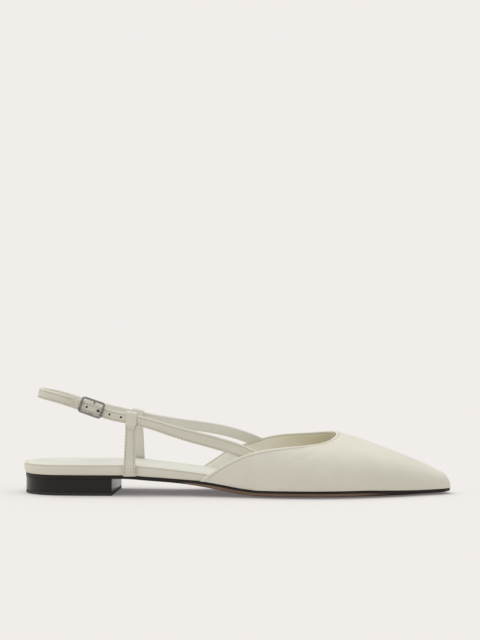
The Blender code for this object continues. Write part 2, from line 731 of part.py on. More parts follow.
class Sling:
    """The whole sling as a curve by length: outer front end, round the back, to the inner front end."""

    def __init__(self):
        halves = {}
        for side in (-1, 1):
            halves[side] = sling_curve(side)
        points = np.concatenate([halves[-1][0], halves[1][0][-2::-1]])
        outs = np.concatenate([halves[-1][1], halves[1][1][-2::-1]])
        knots = np.concatenate([[0], np.cumsum(np.linalg.norm(np.diff(points, axis=0), axis=1))])
        self.place = smooth_curve(knots, points)
        self.facing = smooth_curve(knots, outs)
        self.end = knots[-1]
        self.loop = {-1: knots[4], 1: knots[len(knots) - 5]}   # after the end, the edge and the route
        self.edge = {-1: knots[1], 1: knots[-2]}
        self.buckle = self.loop[-1] + BUCKLE_FROM_LOOP

    def frame(self, run):
        """Place, direction along, direction across the strap's width, and out of its face."""
        run = np.asarray(run, float)
        small = 1e-5
        along = unit(self.place(run + small) - self.place(run - small))
        out = self.facing(run)
        out = unit(out - along * np.sum(out * along, axis=-1, keepdims=True))
        across = np.cross(along, out)
        across = across * np.sign(across[..., 2:])
        return self.place(run), along, across, out

    def width(self, run):
        """Strap width: wider towards the upper."""
        front = np.clip((self.loop[-1] - run) / (self.loop[-1] - self.edge[-1]), 0, 1)
        front = np.maximum(front, np.clip((run - self.loop[1]) / (self.edge[1] - self.loop[1]), 0, 1))
        return SLING_WIDTH + (STRAP_WIDTH - SLING_WIDTH) * front

    def thickness(self, run):
        """Strap thickness: skived to its end inside the upper."""
        nearest = np.minimum(run, self.end - run)
        skive = np.clip(nearest / self.edge[-1], 0, 1)
        return TAIL_THICKNESS + (STRAP_THICKNESS - TAIL_THICKNESS) * ease(skive)


# Levels of what is stacked in the buckle, out from the sling's own line
TONGUE_LEVEL = 0.0005
LEAF_LEVEL = TONGUE_LEVEL - TONGUE_THICKNESS / 2 - GAP - LEAF_THICKNESS / 2
BAR_LEVEL = LEAF_LEVEL - LEAF_THICKNESS / 2 - GAP - BAR_RADIUS
FRAME_LEVEL = TONGUE_LEVEL + TONGUE_THICKNESS / 2 + GAP + FRAME_WIRE / 2
BUCKLE_BLEND = 0.0060   # run over which a strap eases to its level in the buckle


def buckled(sling, run, reach):
    """1 within a distance of the buckle's middle, easing to 0 beyond it."""
    return 1 - ease((np.abs(run - sling.buckle) - reach) / BUCKLE_BLEND)


def make_sling_lateral(sling, material):
    """Outer strap: from inside the upper, through its loop and the buckle, to its punched tip."""
    tip = sling.buckle + TIP_LENGTH
    run = np.concatenate([np.linspace(0, sling.loop[-1], 18), np.linspace(sling.loop[-1], tip, 24)[1:]])
    inside = np.where(run > sling.buckle, 1.0, buckled(sling, run, FRAME_LENGTH / 2))
    place, along, across, out = sling.frame(run)
    width = sling.width(run) * (TIP_BLUNT + (1 - TIP_BLUNT) * round_end(tip - run, SLING_WIDTH / 2))
    thick = sling.thickness(run) * (1 - inside) + TONGUE_THICKNESS * inside
    centres = place + out * (TONGUE_LEVEL * inside)[:, None]
    strap = loft("sling_lateral", centres, width, thick, across, out, material)
    for number in range(-1, 3):
        at = sling.buckle - PRONG_HOLE - number * HOLE_PITCH
        radius = PRONG_HOLE_RADIUS if number == 0 else HOLE_RADIUS
        level = TONGUE_LEVEL * float(buckled(sling, at, FRAME_LENGTH / 2))
        cut(strap, hole_cutter(sling, at, level, radius, f"hole_{number + 1}"))
    return strap


def hole_cutter(sling, run, level, radius, name):
    """A round punch through a strap."""
    place, along, across, out = sling.frame(run)
    turn = np.linspace(0, 2 * np.pi, 13)[:-1]
    circle = along * np.cos(turn)[:, None] + across * np.sin(turn)[:, None]
    middle_point = place + out * level
    reach = STRAP_THICKNESS
    points = np.concatenate([middle_point + circle * radius + out * side * reach for side in (-1, 1)])
    count = len(turn)
    faces = [*band(0, count, count), tuple(range(count))[::-1], tuple(range(count, 2 * count))]
    return solid_facing_out(name, points, faces)


def solid_facing_out(name, points, faces):
    """A cutter whose faces point out, whichever way it was built."""
    centre = np.mean(points, axis=0)
    volume = 0.0
    for face in faces:
        for i in range(1, len(face) - 1):
            a, b, c = (points[k] - centre for k in (face[0], face[i], face[i + 1]))
            volume += np.dot(a, np.cross(b, c))
    if volume < 0:
        faces = [tuple(face)[::-1] for face in faces]
    return mesh_object(name, points, faces, None)


def cut(item, cutter):
    """Takes the cutter's form out of a piece."""
    cutter.hide_render = True
    cutter.display_type = "WIRE"
    modifier = item.modifiers.new(cutter.name, "BOOLEAN")
    modifier.operation = "DIFFERENCE"
    modifier.object = cutter


def join(item, other):
    """Adds another form to a piece."""
    other.hide_render = True
    other.display_type = "WIRE"
    modifier = item.modifiers.new(other.name, "BOOLEAN")
    modifier.operation = "UNION"
    modifier.object = other


def make_sling_medial(sling, material):
    """Inner strap: from inside the upper, through its loop, round the heel, and round the buckle's bar."""
    fold = LEAF_THICKNESS / 2 + GAP + BAR_RADIUS
    run = np.concatenate(
        [
            np.linspace(sling.end, sling.loop[1], 18),
            np.linspace(sling.loop[1], sling.buckle + FOLD_START, 32)[1:],
        ]
    )
    inside = buckled(sling, run, TIP_LENGTH + GAP)
    place, along, across, out = sling.frame(run)
    width = sling.width(run)
    thick = sling.thickness(run) * (1 - inside) + LEAF_THICKNESS * inside
    centres = place + out * (LEAF_LEVEL * inside)[:, None]
    bar, bar_along, bar_across, bar_out = sling.frame(sling.buckle)
    turns = np.radians(np.linspace(0, 180, 9))
    bend_out = -np.sin(turns)[:, None] * bar_along + np.cos(turns)[:, None] * bar_out
    bend = bar + bar_out * BAR_LEVEL + bend_out * fold
    back_run = np.linspace(FOLD_START, FOLD_LENGTH, 8)
    back_place, _, back_across, back_out = sling.frame(sling.buckle + back_run)
    beside = LEAF_LEVEL - LEAF_THICKNESS - GAP
    level = beside + (BAR_LEVEL - fold - beside) * (1 - ease((back_run - FOLD_START) / FOLD_RUN))
    back = back_place + back_out * level[:, None]
    centres = np.concatenate([centres, bend, back])
    across = np.concatenate([across, np.repeat(bar_across[None], len(bend), 0), back_across])
    out = np.concatenate([out, bend_out, -back_out])
    width = np.concatenate([width, np.full(len(bend) + len(back), SLING_WIDTH)])
    thick = np.concatenate([thick, np.full(len(bend) + len(back), LEAF_THICKNESS)])
    strap = loft("sling_medial", centres, width, thick, -across, out, material)
    cut(strap, slit_cutter(sling))
    return strap


def block_at(name, place, along, across, out, size, offset=(0, 0, 0)):
    """A block in a strap's own directions."""
    corners = [(a, b, c) for a in (-1, 1) for b in (-1, 1) for c in (-1, 1)]
    points = np.array(
        [
            place
            + along * (offset[0] + a * size[0] / 2)
            + across * (offset[1] + b * size[1] / 2)
            + out * (offset[2] + c * size[2] / 2)
            for a, b, c in corners
        ]
    )
    faces = ((0, 1, 3, 2), (4, 6, 7, 5), (0, 4, 5, 1), (2, 3, 7, 6), (0, 2, 6, 4), (1, 5, 7, 3))
    return solid_facing_out(name, points, faces)


def slit_cutter(sling):
    """Slit in the folded end, through which the prong turns on the bar."""
    fold = LEAF_THICKNESS + GAP + BAR_RADIUS
    size = (2 * fold + SLIT_ROOM, SLIT_WIDTH, 2 * fold + SLIT_ROOM)
    return block_at("slit", *sling.frame(sling.buckle), size, (SLIT_SHIFT, 0, BAR_LEVEL))


def wire(name, points, radius, material, sides=8):
    """A round wire along points, capped at both ends."""
    points = np.asarray(points, float)
    along = unit(np.gradient(points, axis=0))
    side = np.cross(along, unit(points[-1] - points[0] + np.array([1e-9, 2e-9, 3e-9])))
    reference = unit(side[np.argmax(np.linalg.norm(side, axis=1))])
    first = unit(np.cross(along, np.broadcast_to(reference, along.shape)))
    second = np.cross(along, first)
    turn = np.linspace(0, 2 * np.pi, sides + 1)[:-1]
    circle = first[:, None] * np.cos(turn)[:, None] + second[:, None] * np.sin(turn)[:, None]
    rings = points[:, None] + circle * radius
    faces = [tuple(range(sides))[::-1]]
    for i in range(len(points) - 1):
        faces += band(i * sides, (i + 1) * sides, sides)
    faces.append(tuple(range((len(points) - 1) * sides, len(points) * sides)))
    return mesh_object(name, rings.reshape(-1, 3), faces, material, 40)


def make_buckle(sling, material):
    """Frame with rounded corners, and the centre bar on two lugs under its sides."""
    place, along, across, out = sling.frame(sling.buckle)
    half_l = (FRAME_LENGTH - FRAME_WIRE) / 2
    half_w = (FRAME_WIDTH - FRAME_WIRE) / 2
    bend = FRAME_CORNER - FRAME_WIRE / 2
    path, outward = [], []
    for sx, sy, start in ((1, 1, 0), (-1, 1, 90), (-1, -1, 180), (1, -1, 270)):
        for turn in np.radians(np.linspace(start, start + 90, 6)):
            ray = along * math.cos(turn) + across * math.sin(turn)
            path.append(along * sx * (half_l - bend) + across * sy * (half_w - bend) + ray * bend)
            outward.append(ray)
    path, outward = np.array(path), np.array(outward)
    turns = np.radians(np.arange(22.5, 382.5, 45))
    level = place + out * FRAME_LEVEL + across * FRAME_LIFT
    section = outward[:, None] * np.cos(turns)[:, None] + out * np.sin(turns)[:, None]
    rings = level + path[:, None] + section * FRAME_WIRE / 2 / math.cos(math.radians(22.5))
    sides, count = len(turns), len(path)
    faces = []
    for i in range(count):
        for face in band(0, sides, sides):
            shift = [(k % sides) + ((i + (k >= sides)) % count) * sides for k in face]
            faces.append(shift)
    frame = mesh_object("buckle_frame", rings.reshape(-1, 3), faces, material, 40)
    reach = half_w * across
    bar = place + out * BAR_LEVEL + across * FRAME_LIFT
    join(frame, wire("centre_bar", [bar - reach, bar + reach], BAR_RADIUS, None, 10))
    lug_height = FRAME_LEVEL - BAR_LEVEL + BAR_RADIUS
    for side in (-1, 1):
        offset = (0, FRAME_LIFT + side * half_w, (FRAME_LEVEL + BAR_LEVEL - BAR_RADIUS) / 2)
        join(frame, block_at(f"lug_{side}", place, along, across, out, (*LUG, lug_height), offset))
    return frame


def make_prong(sling, material):
    """Prong: round the centre bar, up through the hole, and over the front of the frame."""
    place, along, across, out = sling.frame(sling.buckle)
    ahead = -along
    ring = BAR_RADIUS + GAP + PRONG_WIRE / 2
    top = FRAME_LEVEL + FRAME_WIRE / 2 + GAP + PRONG_WIRE / 2
    points = [
        place + out * (BAR_LEVEL + ring * math.cos(a)) - ahead * ring * math.sin(a)
        for a in np.radians(np.linspace(250, 0, 11))
    ]
    low = BAR_LEVEL + ring
    points += [place + ahead * (PRONG_HOLE + run) + out * (low + (top - low) * rise) for run, rise in STEM]
    return wire("buckle_prong", points, PRONG_WIRE / 2, material)


def make_upright(name, sling, side, material):
    """Upright strap: up the rim's side, leaning in to the sling, closed round it as a loop."""
    loop, along, across, out = sling.frame(sling.loop[side])
    ahead = along * np.sign(along[0])
    x = loop[0]
    foot_z = feather(x) + GAP
    lay = GAP + UPRIGHT_THICKNESS / 2
    edge = middle(x) + side * footbed_half(x)
    near = np.array([x - UPRIGHT_FOOT / 2, x + UPRIGHT_FOOT / 2])
    level = np.append(np.diff([near, middle(near) + side * footbed_half(near)]).ravel(), 0.0)
    level = unit(level)
    foot = np.array([x, edge + side * (lay + flare(x) * 0.3), foot_z])
    rim = np.array([x, edge + side * (lay + flare(x) + 0.0001), rim_top(x) - RIM_ROLL])
    over = np.array([x, edge + side * (lay + flare(x) - 0.0006), rim_top(x) + 0.0006])
    head = STRAP_THICKNESS / 2 + GAP + LOOP_LEAF
    reach = SLING_WIDTH / 2 + GAP
    above = reach + LOOP_SLACK
    rise = unit(loop - over)
    neck = loop - rise * (reach + LOOP_LEAF * 2.2)
    rows = [
        (foot, UPRIGHT_FOOT, UPRIGHT_THICKNESS),
        (rim, UPRIGHT_FOOT, UPRIGHT_THICKNESS),
        (over, UPRIGHT_FOOT * 0.94, UPRIGHT_THICKNESS),
        (over + (neck - over) * 0.2, UPRIGHT_WIDTH * 1.04, UPRIGHT_THICKNESS),
        (over + (neck - over) * 0.6, UPRIGHT_WIDTH, UPRIGHT_THICKNESS),
        (neck, UPRIGHT_WIDTH, UPRIGHT_THICKNESS),
        (loop - rise * (reach + LOOP_LEAF * 0.8), UPRIGHT_WIDTH, UPRIGHT_THICKNESS * 1.25),
        (loop - rise * reach * 0.8, UPRIGHT_WIDTH, 2 * head * 0.96),
        (loop, UPRIGHT_WIDTH, 2 * head),
        (loop + rise * above * 0.9, UPRIGHT_WIDTH, 2 * head * 0.97),
        (loop + rise * (above + LOOP_LEAF * 0.5), UPRIGHT_WIDTH * 0.99, 2 * head * 0.80),
        (loop + rise * (above + LOOP_LEAF), UPRIGHT_WIDTH * 0.97, 2 * head * 0.42),
    ]
    centres = np.array([row[0] for row in rows])
    with_sling = ease(np.linspace(-0.9, 1.4, len(rows)))[:, None]
    wide = unit(level * (1 - with_sling) + ahead * with_sling)
    up = unit(np.gradient(centres, axis=0))
    facing = unit(np.cross(up, wide)) * side
    widths = [row[1] for row in rows]
    thick = [row[2] for row in rows]
    item = loft(name, centres, widths, thick, -wide * side, facing, material, LOOP_CORNER)
    run = sling.loop[side] + np.linspace(-SLOT_REACH, SLOT_REACH, 7)
    place, _, slot_across, slot_out = sling.frame(run)
    place = place + slot_across * LOOP_SLACK / 2
    width = sling.width(run) + 2 * GAP + LOOP_SLACK
    thick = sling.thickness(run) + 2 * GAP
    slot = loft(name + "_slot", place, width, thick, slot_across, slot_out, None, EDGE_ROUND / 2)
    cut(item, slot)
    return item


def main():
    """Builds every piece."""
    for item in list(bpy.data.objects):
        bpy.data.objects.remove(item)
    cream = leather("cream_leather", (0.72, 0.70, 0.60), 0.42)
    lining = leather("cream_lining", (0.78, 0.77, 0.69), 0.55)
    sole_black = leather("black_sole_edge", (0.020, 0.016, 0.014), 0.38)
    heel_black = leather("black_lacquer", (0.022, 0.019, 0.018), 0.25)
    rubber = leather("black_rubber", (0.020, 0.020, 0.020), 0.65)
    steel = leather("polished_steel", (0.62, 0.62, 0.60), 0.18, 1.0)

    ring = footbed_ring(plan_stations(CAP_STEPS, BODY_STEPS))
    make_outsole(ring, sole_black)
    make_insole_board(ring, cream)
    make_sock(ring, lining)
    make_vamp(UPPER_OUTSIDE, cream)
    heel = heel_ring(ring)
    heel_solid("top_lift", 0.0, TOP_LIFT, heel, rubber)
    heel_solid("heel_block", TOP_LIFT + GAP, SEAT_HEIGHT - GAP, heel, heel_black)

    sling = Sling()
    make_sling_lateral(sling, cream)
    make_sling_medial(sling, cream)
    make_upright("upright_lateral", sling, -1, cream)
    make_upright("upright_medial", sling, 1, cream)
    make_buckle(sling, steel)
    make_prong(sling, steel)


UPPER_OUTSIDE = upper_grid()
ORIGIN = np.array([LENGTH / 2, (UPPER_OUTSIDE[..., 1].min() + UPPER_OUTSIDE[..., 1].max()) / 2, 0.0])
main()
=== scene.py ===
"""Looks of the sling back flat: cream leather, stitching, black lacquer and polished steel.

Every piece is worked out from the same named sizes and tables as the solids, on finer grids, with the
rolled edges, seams, punched holes and soft creases that the solids leave out.
"""

import math

import bmesh
import bpy
import numpy as np
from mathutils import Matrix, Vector


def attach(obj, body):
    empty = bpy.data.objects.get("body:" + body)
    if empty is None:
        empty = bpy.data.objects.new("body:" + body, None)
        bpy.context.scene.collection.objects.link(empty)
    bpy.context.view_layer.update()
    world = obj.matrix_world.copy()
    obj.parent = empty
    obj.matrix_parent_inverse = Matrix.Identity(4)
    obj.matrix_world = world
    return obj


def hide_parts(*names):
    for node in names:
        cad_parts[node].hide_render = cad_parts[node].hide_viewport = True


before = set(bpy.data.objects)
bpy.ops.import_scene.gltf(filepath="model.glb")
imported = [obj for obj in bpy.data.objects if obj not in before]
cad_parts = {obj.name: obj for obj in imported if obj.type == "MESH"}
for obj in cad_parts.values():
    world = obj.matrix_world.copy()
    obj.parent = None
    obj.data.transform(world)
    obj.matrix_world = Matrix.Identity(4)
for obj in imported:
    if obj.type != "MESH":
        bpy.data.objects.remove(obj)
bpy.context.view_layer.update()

# Sizes shared with the solids, in metres
LENGTH = 0.270
BALL_WIDTH = 0.0750
WAIST_WIDTH = 0.0490
SEAT_WIDTH = 0.0540
THROAT_HEIGHT = 0.0384
GAP = 0.0003
TOP_LIFT = 0.0020
HEEL_BLOCK = 0.0079
HEEL_LENGTH = 0.0592
HEEL_INSET = 0.0005
SOLE_SUBSTANCE = 0.0032
SOLE_CROWN = 0.0017
SOLE_INSET = 0.0003
BEVEL_INSET = 0.0017
TOE_SPRING = 0.0020
RIM_HEIGHT = 0.0064
RIM_FLARE = 0.0011
RIM_ROLL = 0.0011
SOCK_RECESS = 0.0016
SOCK_SINK = 0.0002
SOCK_CROWN = 0.0007
WALL = 0.0016
TOE_POINT = 0.0042
TOE_ROUND = 0.0070
WALL_BULGE = 0.0010
RIDGE_SHIFT = 0.0060
STRAP_THICKNESS = 0.0018
SLING_WIDTH = 0.0064
STRAP_WIDTH = 0.0072
TAIL_THICKNESS = 0.0010
TAIL_GAP = 0.00055
LOOP_HEIGHT = 0.0473
LOOP_DRAW = 0.0060
BACK_INSET = 0.0101
BACK_HEIGHT = 0.0629
STRAP_BOW = 0.0014
SIDE_LEAN = math.radians(10)
BACK_LEAN = math.radians(15)
UPRIGHT_STATION = 0.261
UPRIGHT_WIDTH = 0.0064
UPRIGHT_FOOT = 0.0078
UPRIGHT_THICKNESS = 0.0019
LOOP_LEAF = 0.0010
LOOP_SLACK = 0.0006
BUCKLE_FROM_LOOP = 0.0258
FRAME_LENGTH = 0.0155
FRAME_WIDTH = 0.0106
FRAME_WIRE = 0.0013
FRAME_CORNER = 0.0019
FRAME_LIFT = 0.0006
LUG = (0.0016, 0.0009)
BAR_RADIUS = 0.00045
PRONG_WIRE = 0.0007
TONGUE_THICKNESS = 0.0012
LEAF_THICKNESS = 0.0007
FOLD_LENGTH = 0.0120
TIP_LENGTH = 0.0118
HOLE_PITCH = 0.0076
HOLE_RADIUS = 0.0007
PRONG_HOLE = 0.0044
SLIT_WIDTH = 0.0016
SLIT_ROOM = 0.0020
SLIT_SHIFT = -0.0008

# station, half-width, swing of the middle line
OUTLINE = (
    (0.00, SEAT_WIDTH * 0.485, 0.004),
    (0.10, SEAT_WIDTH * 0.497, 0.002),
    (0.20, SEAT_WIDTH * 0.492, -0.006),
    (0.30, WAIST_WIDTH * 0.510, -0.020),
    (0.40, WAIST_WIDTH * 0.500, -0.036),
    (0.50, BALL_WIDTH * 0.375, -0.044),
    (0.60, BALL_WIDTH * 0.462, -0.032),
    (0.67, BALL_WIDTH * 0.494, -0.014),
    (0.73, BALL_WIDTH * 0.488, 0.004),
    (0.80, BALL_WIDTH * 0.425, 0.018),
    (0.88, BALL_WIDTH * 0.298, 0.026),
    (0.95, BALL_WIDTH * 0.152, 0.028),
    (1.00, BALL_WIDTH * 0.052, 0.028),
)
# station, underside by seat height, underside by toe spring, edge thickness, curl of the edge
SOLE = (
    (0.000, 1.000, 0.0, 0.75, 0.00),
    (0.245, 1.000, 0.0, 0.75, 0.00),
    (0.307, 0.880, 0.0, 0.78, 0.12),
    (0.353, 0.780, 0.0, 0.79, 0.24),
    (0.400, 0.640, 0.0, 0.86, 0.42),
    (0.450, 0.425, 0.0, 1.02, 0.70),
    (0.480, 0.275, 0.0, 1.04, 0.84),
    (0.515, 0.120, 0.0, 1.03, 0.90),
    (0.560, 0.012, 0.0, 1.00, 0.96),
    (0.600, 0.000, 0.00, 1.00, 1.00),
    (0.740, 0.000, 0.00, 1.00, 1.00),
    (0.800, 0.000, 0.06, 1.02, 0.88),
    (0.880, 0.000, 0.28, 0.88, 0.46),
    (0.930, 0.000, 0.46, 0.76, 0.24),
    (0.975, 0.000, 0.68, 0.70, 0.12),
    (1.000, 0.000, 1.00, 0.62, 0.00),
)
# station, height of the footbed's side, flare
RIM = (
    (0.00, 1.00, 1.0),
    (0.25, 1.00, 0.8),
    (0.31, 0.97, 0.4),
    (0.36, 0.88, 0.1),
    (0.42, 0.76, -0.1),
    (0.50, 0.52, -0.4),
    (0.60, 0.42, -0.5),
    (1.00, 0.30, -0.6),
)
# station, ridge height, ridge shift, flank power, crown power
SECTIONS = (
    (0.36, 1.76, 0.9, 1.05, 0.86),
    (0.42, 1.64, 1.0, 1.05, 0.86),
    (0.50, 1.455, 1.0, 1.05, 0.86),
    (0.60, 1.215, 1.0, 1.05, 0.86),
    (0.66, 1.095, 1.0, 1.05, 0.86),
    (0.735, 1.000, 1.0, 1.03, 0.86),
    (0.789, 0.890, 0.85, 1.00, 0.86),
    (0.835, 0.775, 0.6, 0.96, 0.87),
    (0.881, 0.652, 0.4, 0.92, 0.88),
    (0.928, 0.525, 0.2, 0.88, 0.90),
    (0.951, 0.452, 0.1, 0.86, 0.90),
    (0.974, 0.372, 0.0, 0.85, 0.90),
    (1.000, 0.320, 0.0, 0.85, 0.90),
)
# station, height share, side of the ridge
TOPLINE = (
    (0.4220, 0.000, -1),
    (0.4440, 0.099, -1),
    (0.4760, 0.240, -1),
    (0.5100, 0.376, -1),
    (0.5430, 0.484, -1),
    (0.5830, 0.578, -1),
    (0.6240, 0.663, -1),
    (0.6680, 0.743, -1),
    (0.6950, 0.795, -1),
    (0.7165, 0.858, -1),
    (0.7300, 0.935, -1),
    (0.7300, 0.999, 1),
    (0.7150, 0.970, 1),
    (0.6950, 0.930, 1),
    (0.6710, 0.885, 1),
    (0.6240, 0.790, 1),
    (0.5760, 0.670, 1),
    (0.5480, 0.585, 1),
    (0.5100, 0.463, 1),
    (0.4676, 0.314, 1),
    (0.4480, 0.224, 1),
    (0.4150, 0.092, 1),
    (0.3900, 0.000, 1),
)
STRAP_ENDS = {
    -1: ((0.557, 0.432), (0.527, 0.478)),
    1: ((0.545, 0.556), (0.524, 0.588)),
}
STRAP_ROUTE = {
    -1: ((0.28, 0.7, 0.3), (0.62, 0.35, 0.7)),
    1: ((0.26, 1.2, 0.5), (0.62, 0.3, 0.5)),
}
SLING_ROUTE = {
    -1: (
        (0.17, 0.12, 0.94),
        (0.46, 0.46, 0.865),
        (0.60, 0.63, 0.83),
        (0.76, 0.81, 0.73),
        (0.90, 0.93, 0.50),
    ),
    1: (
        (0.30, 0.27, 0.90),
        (0.60, 0.57, 0.83),
        (0.76, 0.77, 0.73),
        (0.90, 0.92, 0.50),
    ),
}

# Sizes of what only the looks have, or have otherwise than the solids
SOLE_FACE = 0.0011      # upright face of the sole's edge, less high than in the solids
SOLE_ROUND = 0.00030    # rounded top of that face
PRONG_HOLE_RADIUS = 0.0009  # less wide than in the solids
FLUSH = 0.00004         # what is left of the gap between the heel's layers
HEEL_CORNER = 0.0008    # rounded upright corner at the heel's breast
RIM_FOOT = ((0.0006, 0.0), (0.0002, 0.0001), (0.0, 0.0004))   # rounded foot of the rim: inset, height
RIM_SWELL = 0.00012     # swell of the footbed's side
SOCK_ROUND = 0.0006     # rounded edge of the sock
SOCK_HOLLOW = 0.00025   # hollow under the heel of the foot
SOCK_WAVE = 0.00006     # unevenness of the soft sock
SHELL = 0.0009          # leather of the upper, over its lining
LINING_THICK = 0.0005   # lining of the upper
WAVE_DEPTH = 0.00010    # slow waves of the upper
PLEAT_DEPTH = 0.00005   # small pleats at its toe
TIP_CLEAR = 0.00002     # what the last row of the upper keeps from the very tip
EDGE_BAND = 0.0019      # edge of the upper to its stitching
BAND_PUFF = 0.00010     # turned edge standing proud of the leather
SEAM_DEPTH = 0.00024    # groove under a row of stitches
UPPER_SEAM = 0.00010    # and on the upper
SEAM_HALF = 0.00036     # half-width of that groove
STITCH_PITCH = 0.0021
STITCH_LENGTH = 0.0014
STITCH_THICK = 0.00036
NEEDLE_RADIUS = 0.00027  # hole that the thread goes down
TOP_SEAM = 0.0016       # top edge of a strap to its stitching
LOW_SEAM = 0.0010       # bottom edge of a strap to its stitching
TURNED_END = 0.0043     # end of the turned leaf below the middle of the sling
LOOP_FLARE = 0.0009     # widening of the loop towards the toe
BAR_TACK = 0.0069       # bar tack below it
TUCK = 0.0052           # inner strap past the place where it crosses the edge of the upper
SHEAR = 0.9             # slant of its end, and the run over which it grows
SHEAR_RUN = 0.0120
SIDE_SEAM = 0.0010      # side of an upright to its stitching
UPRIGHT_ROLL = 0.0005   # rounded edges of an upright
RIM_CLEAR = 0.0001      # room between the upright and the widest place of the rim
OVER_RIM = 0.0006       # place where it leaves the rim, drawn in and above the rim's top by this much
LOOP_ROOM = 0.00012     # room between the loop and the face of the sling
TURNED_THICK = 0.00026  # bulge of the loop over the turned leaf's end
TURNED_HALF = 0.00040
FLARE_RUN = 0.0012      # run over which the loop widens
SQUARE_END = 0.0004     # end of a row of stitches or of a bar tack to the edge beside it
PUNCH_SIDES = 24
PUNCH_LENGTH = 0.0040   # length of a punch, well past both faces of the strap
CUP_WALL = 0.0001       # wall and floor of the cup in a punched hole
TIP_RUN = 0.0040        # last stretch of the outer strap, its rings crowding to the tip
TOP_ROLL = 0.0012       # rounded top edge of a strap
LOW_ROLL = 0.0006       # rounded bottom edge of a strap
ROLL_SQUASH = 0.57      # height of the footbed's rolled edge as a share of its width
ROLL_UNDERCUT = math.radians(-55)   # how far that roll turns in under itself
FLATTER = 0.0007        # sole's edge lower at the ball than in the solids
EDGE_DROP = 0.0005      # top of the sole's edge lower than in the solids
LOW_SPREAD = 0.0009     # outer strap wider on its lower side, towards the upper


def steady_curve(rows, column):
    """Monotone cubic through one column of a table: each span is a Hermite cubic whose end slopes are the
    weighted harmonic means of the neighbouring rises, or zero at a turn."""
    x = np.array([row[0] for row in rows], float)
    y = np.array([row[column] for row in rows], float)
    step = np.diff(x)
    rise = np.diff(y) / step
    slope = np.zeros(len(x))
    slope[0], slope[-1] = rise[0], rise[-1]
    for i in range(1, len(x) - 1):
        if rise[i - 1] * rise[i] > 0:
            near, far = 2 * step[i] + step[i - 1], step[i] + 2 * step[i - 1]
            slope[i] = (near + far) / (near / rise[i - 1] + far / rise[i])

    def value(station):
        s = np.clip(station, x[0], x[-1])
        k = np.clip(np.searchsorted(x, s, side="right") - 1, 0, len(x) - 2)
        t = (s - x[k]) / step[k]
        return (
            y[k] * (1 + 2 * t) * (1 - t) ** 2
            + y[k + 1] * t * t * (3 - 2 * t)
            + step[k] * (slope[k] * t * (1 - t) ** 2 - slope[k + 1] * t * t * (1 - t))
        )

    return value


def smooth_curve(knots, values):
    """Natural cubic spline through numbers or points: second slopes solve the usual three-term system."""
    x = np.asarray(knots, float)
    y = np.asarray(values, float).reshape(len(x), -1)
    step = np.diff(x)
    matrix = np.eye(len(x))
    right = np.zeros_like(y)
    for i in range(1, len(x) - 1):
        matrix[i, i - 1 : i + 2] = step[i - 1], 2 * (step[i - 1] + step[i]), step[i]
        right[i] = 6 * ((y[i + 1] - y[i]) / step[i] - (y[i] - y[i - 1]) / step[i - 1])
    bend = np.linalg.solve(matrix, right)

    def value(at):
        s = np.asarray(at, float)
        k = np.clip(np.searchsorted(x, s, side="right") - 1, 0, len(x) - 2)
        b = ((s - x[k]) / step[k])[..., None]
        a = 1 - b
        square = (step[k] ** 2)[..., None] / 6
        found = a * y[k] + b * y[k + 1] + ((a**3 - a) * bend[k] + (b**3 - b) * bend[k + 1]) * square
        return found[..., 0] if y.shape[1] == 1 else found

    return value


def unit(vectors):
    """The vectors at length one."""
    return vectors / np.maximum(np.linalg.norm(vectors, axis=-1, keepdims=True), 1e-12)


def run_of(points):
    """Distance run from the first of some points to each of them."""
    return np.concatenate([[0], np.cumsum(np.linalg.norm(np.diff(points, axis=0), axis=1))])


def full_turn(count):
    """Angles evenly round a full turn."""
    return np.linspace(0, 2 * np.pi, count + 1)[:-1]


def round_end(distance, radius):
    """Quarter circle: 0 at a rounded end, 1 from one radius away."""
    return np.sqrt(np.clip(1 - (1 - np.clip(distance / radius, 0, 1)) ** 2, 0, 1))


def ease(t):
    """Smooth step, t squared times (3 - 2 t)."""
    t = np.clip(t, 0, 1)
    return t * t * (3 - 2 * t)


def hump(distance, width):
    """Bell curve of a distance: 1 in the middle, falling off over the width."""
    return np.exp(-((distance / width) ** 2))


SEAT_HEIGHT = TOP_LIFT + GAP + HEEL_BLOCK + GAP
FOOTBED_START = RIM_FLARE
FOOTBED_END = LENGTH - WALL - GAP

half_width_at = smooth_curve([r[0] for r in OUTLINE], [r[1] for r in OUTLINE])
swing_at = smooth_curve([r[0] for r in OUTLINE], [r[2] * BALL_WIDTH for r in OUTLINE])
seat_share_at, spring_share_at, substance_share_at, crown_share_at = (
    steady_curve(SOLE, column) for column in (1, 2, 3, 4)
)
rim_share_at, flare_share_at = (steady_curve(RIM, column) for column in (1, 2))
ridge_share_at, shift_share_at, flank_at, crest_at = (
    smooth_curve([r[0] for r in SECTIONS], [r[column] for r in SECTIONS]) for column in (1, 2, 3, 4)
)


def middle(x):
    """Middle line of the footbed in plan."""
    return swing_at(x / LENGTH)


def footbed_half(x):
    """Half the footbed's width: the table's curve times a quarter circle at heel and toe."""
    heel = round_end(x - FOOTBED_START, SEAT_WIDTH / 2)
    toe = round_end(FOOTBED_END - x, TOE_POINT)
    return half_width_at(x / LENGTH) * heel * toe


def underside(x):
    """Height of the sole's underside along the middle."""
    s = x / LENGTH
    return SEAT_HEIGHT * seat_share_at(s) + TOE_SPRING * spring_share_at(s)


def curl(x):
    """How far the sole's edge lies above its middle."""
    return (SOLE_CROWN - FLATTER) * crown_share_at(x / LENGTH)


def substance(x):
    """Thickness of the sole at its edge."""
    s = x / LENGTH
    return SOLE_SUBSTANCE * substance_share_at(s) + FLATTER * crown_share_at(s) - EDGE_DROP


def feather(x):
    """Top of the sole's edge."""
    return underside(x) + curl(x) + substance(x)


def rim_top(x):
    """Top of the rolled edge of the footbed."""
    return feather(x) + GAP + EDGE_DROP + RIM_HEIGHT * rim_share_at(x / LENGTH)


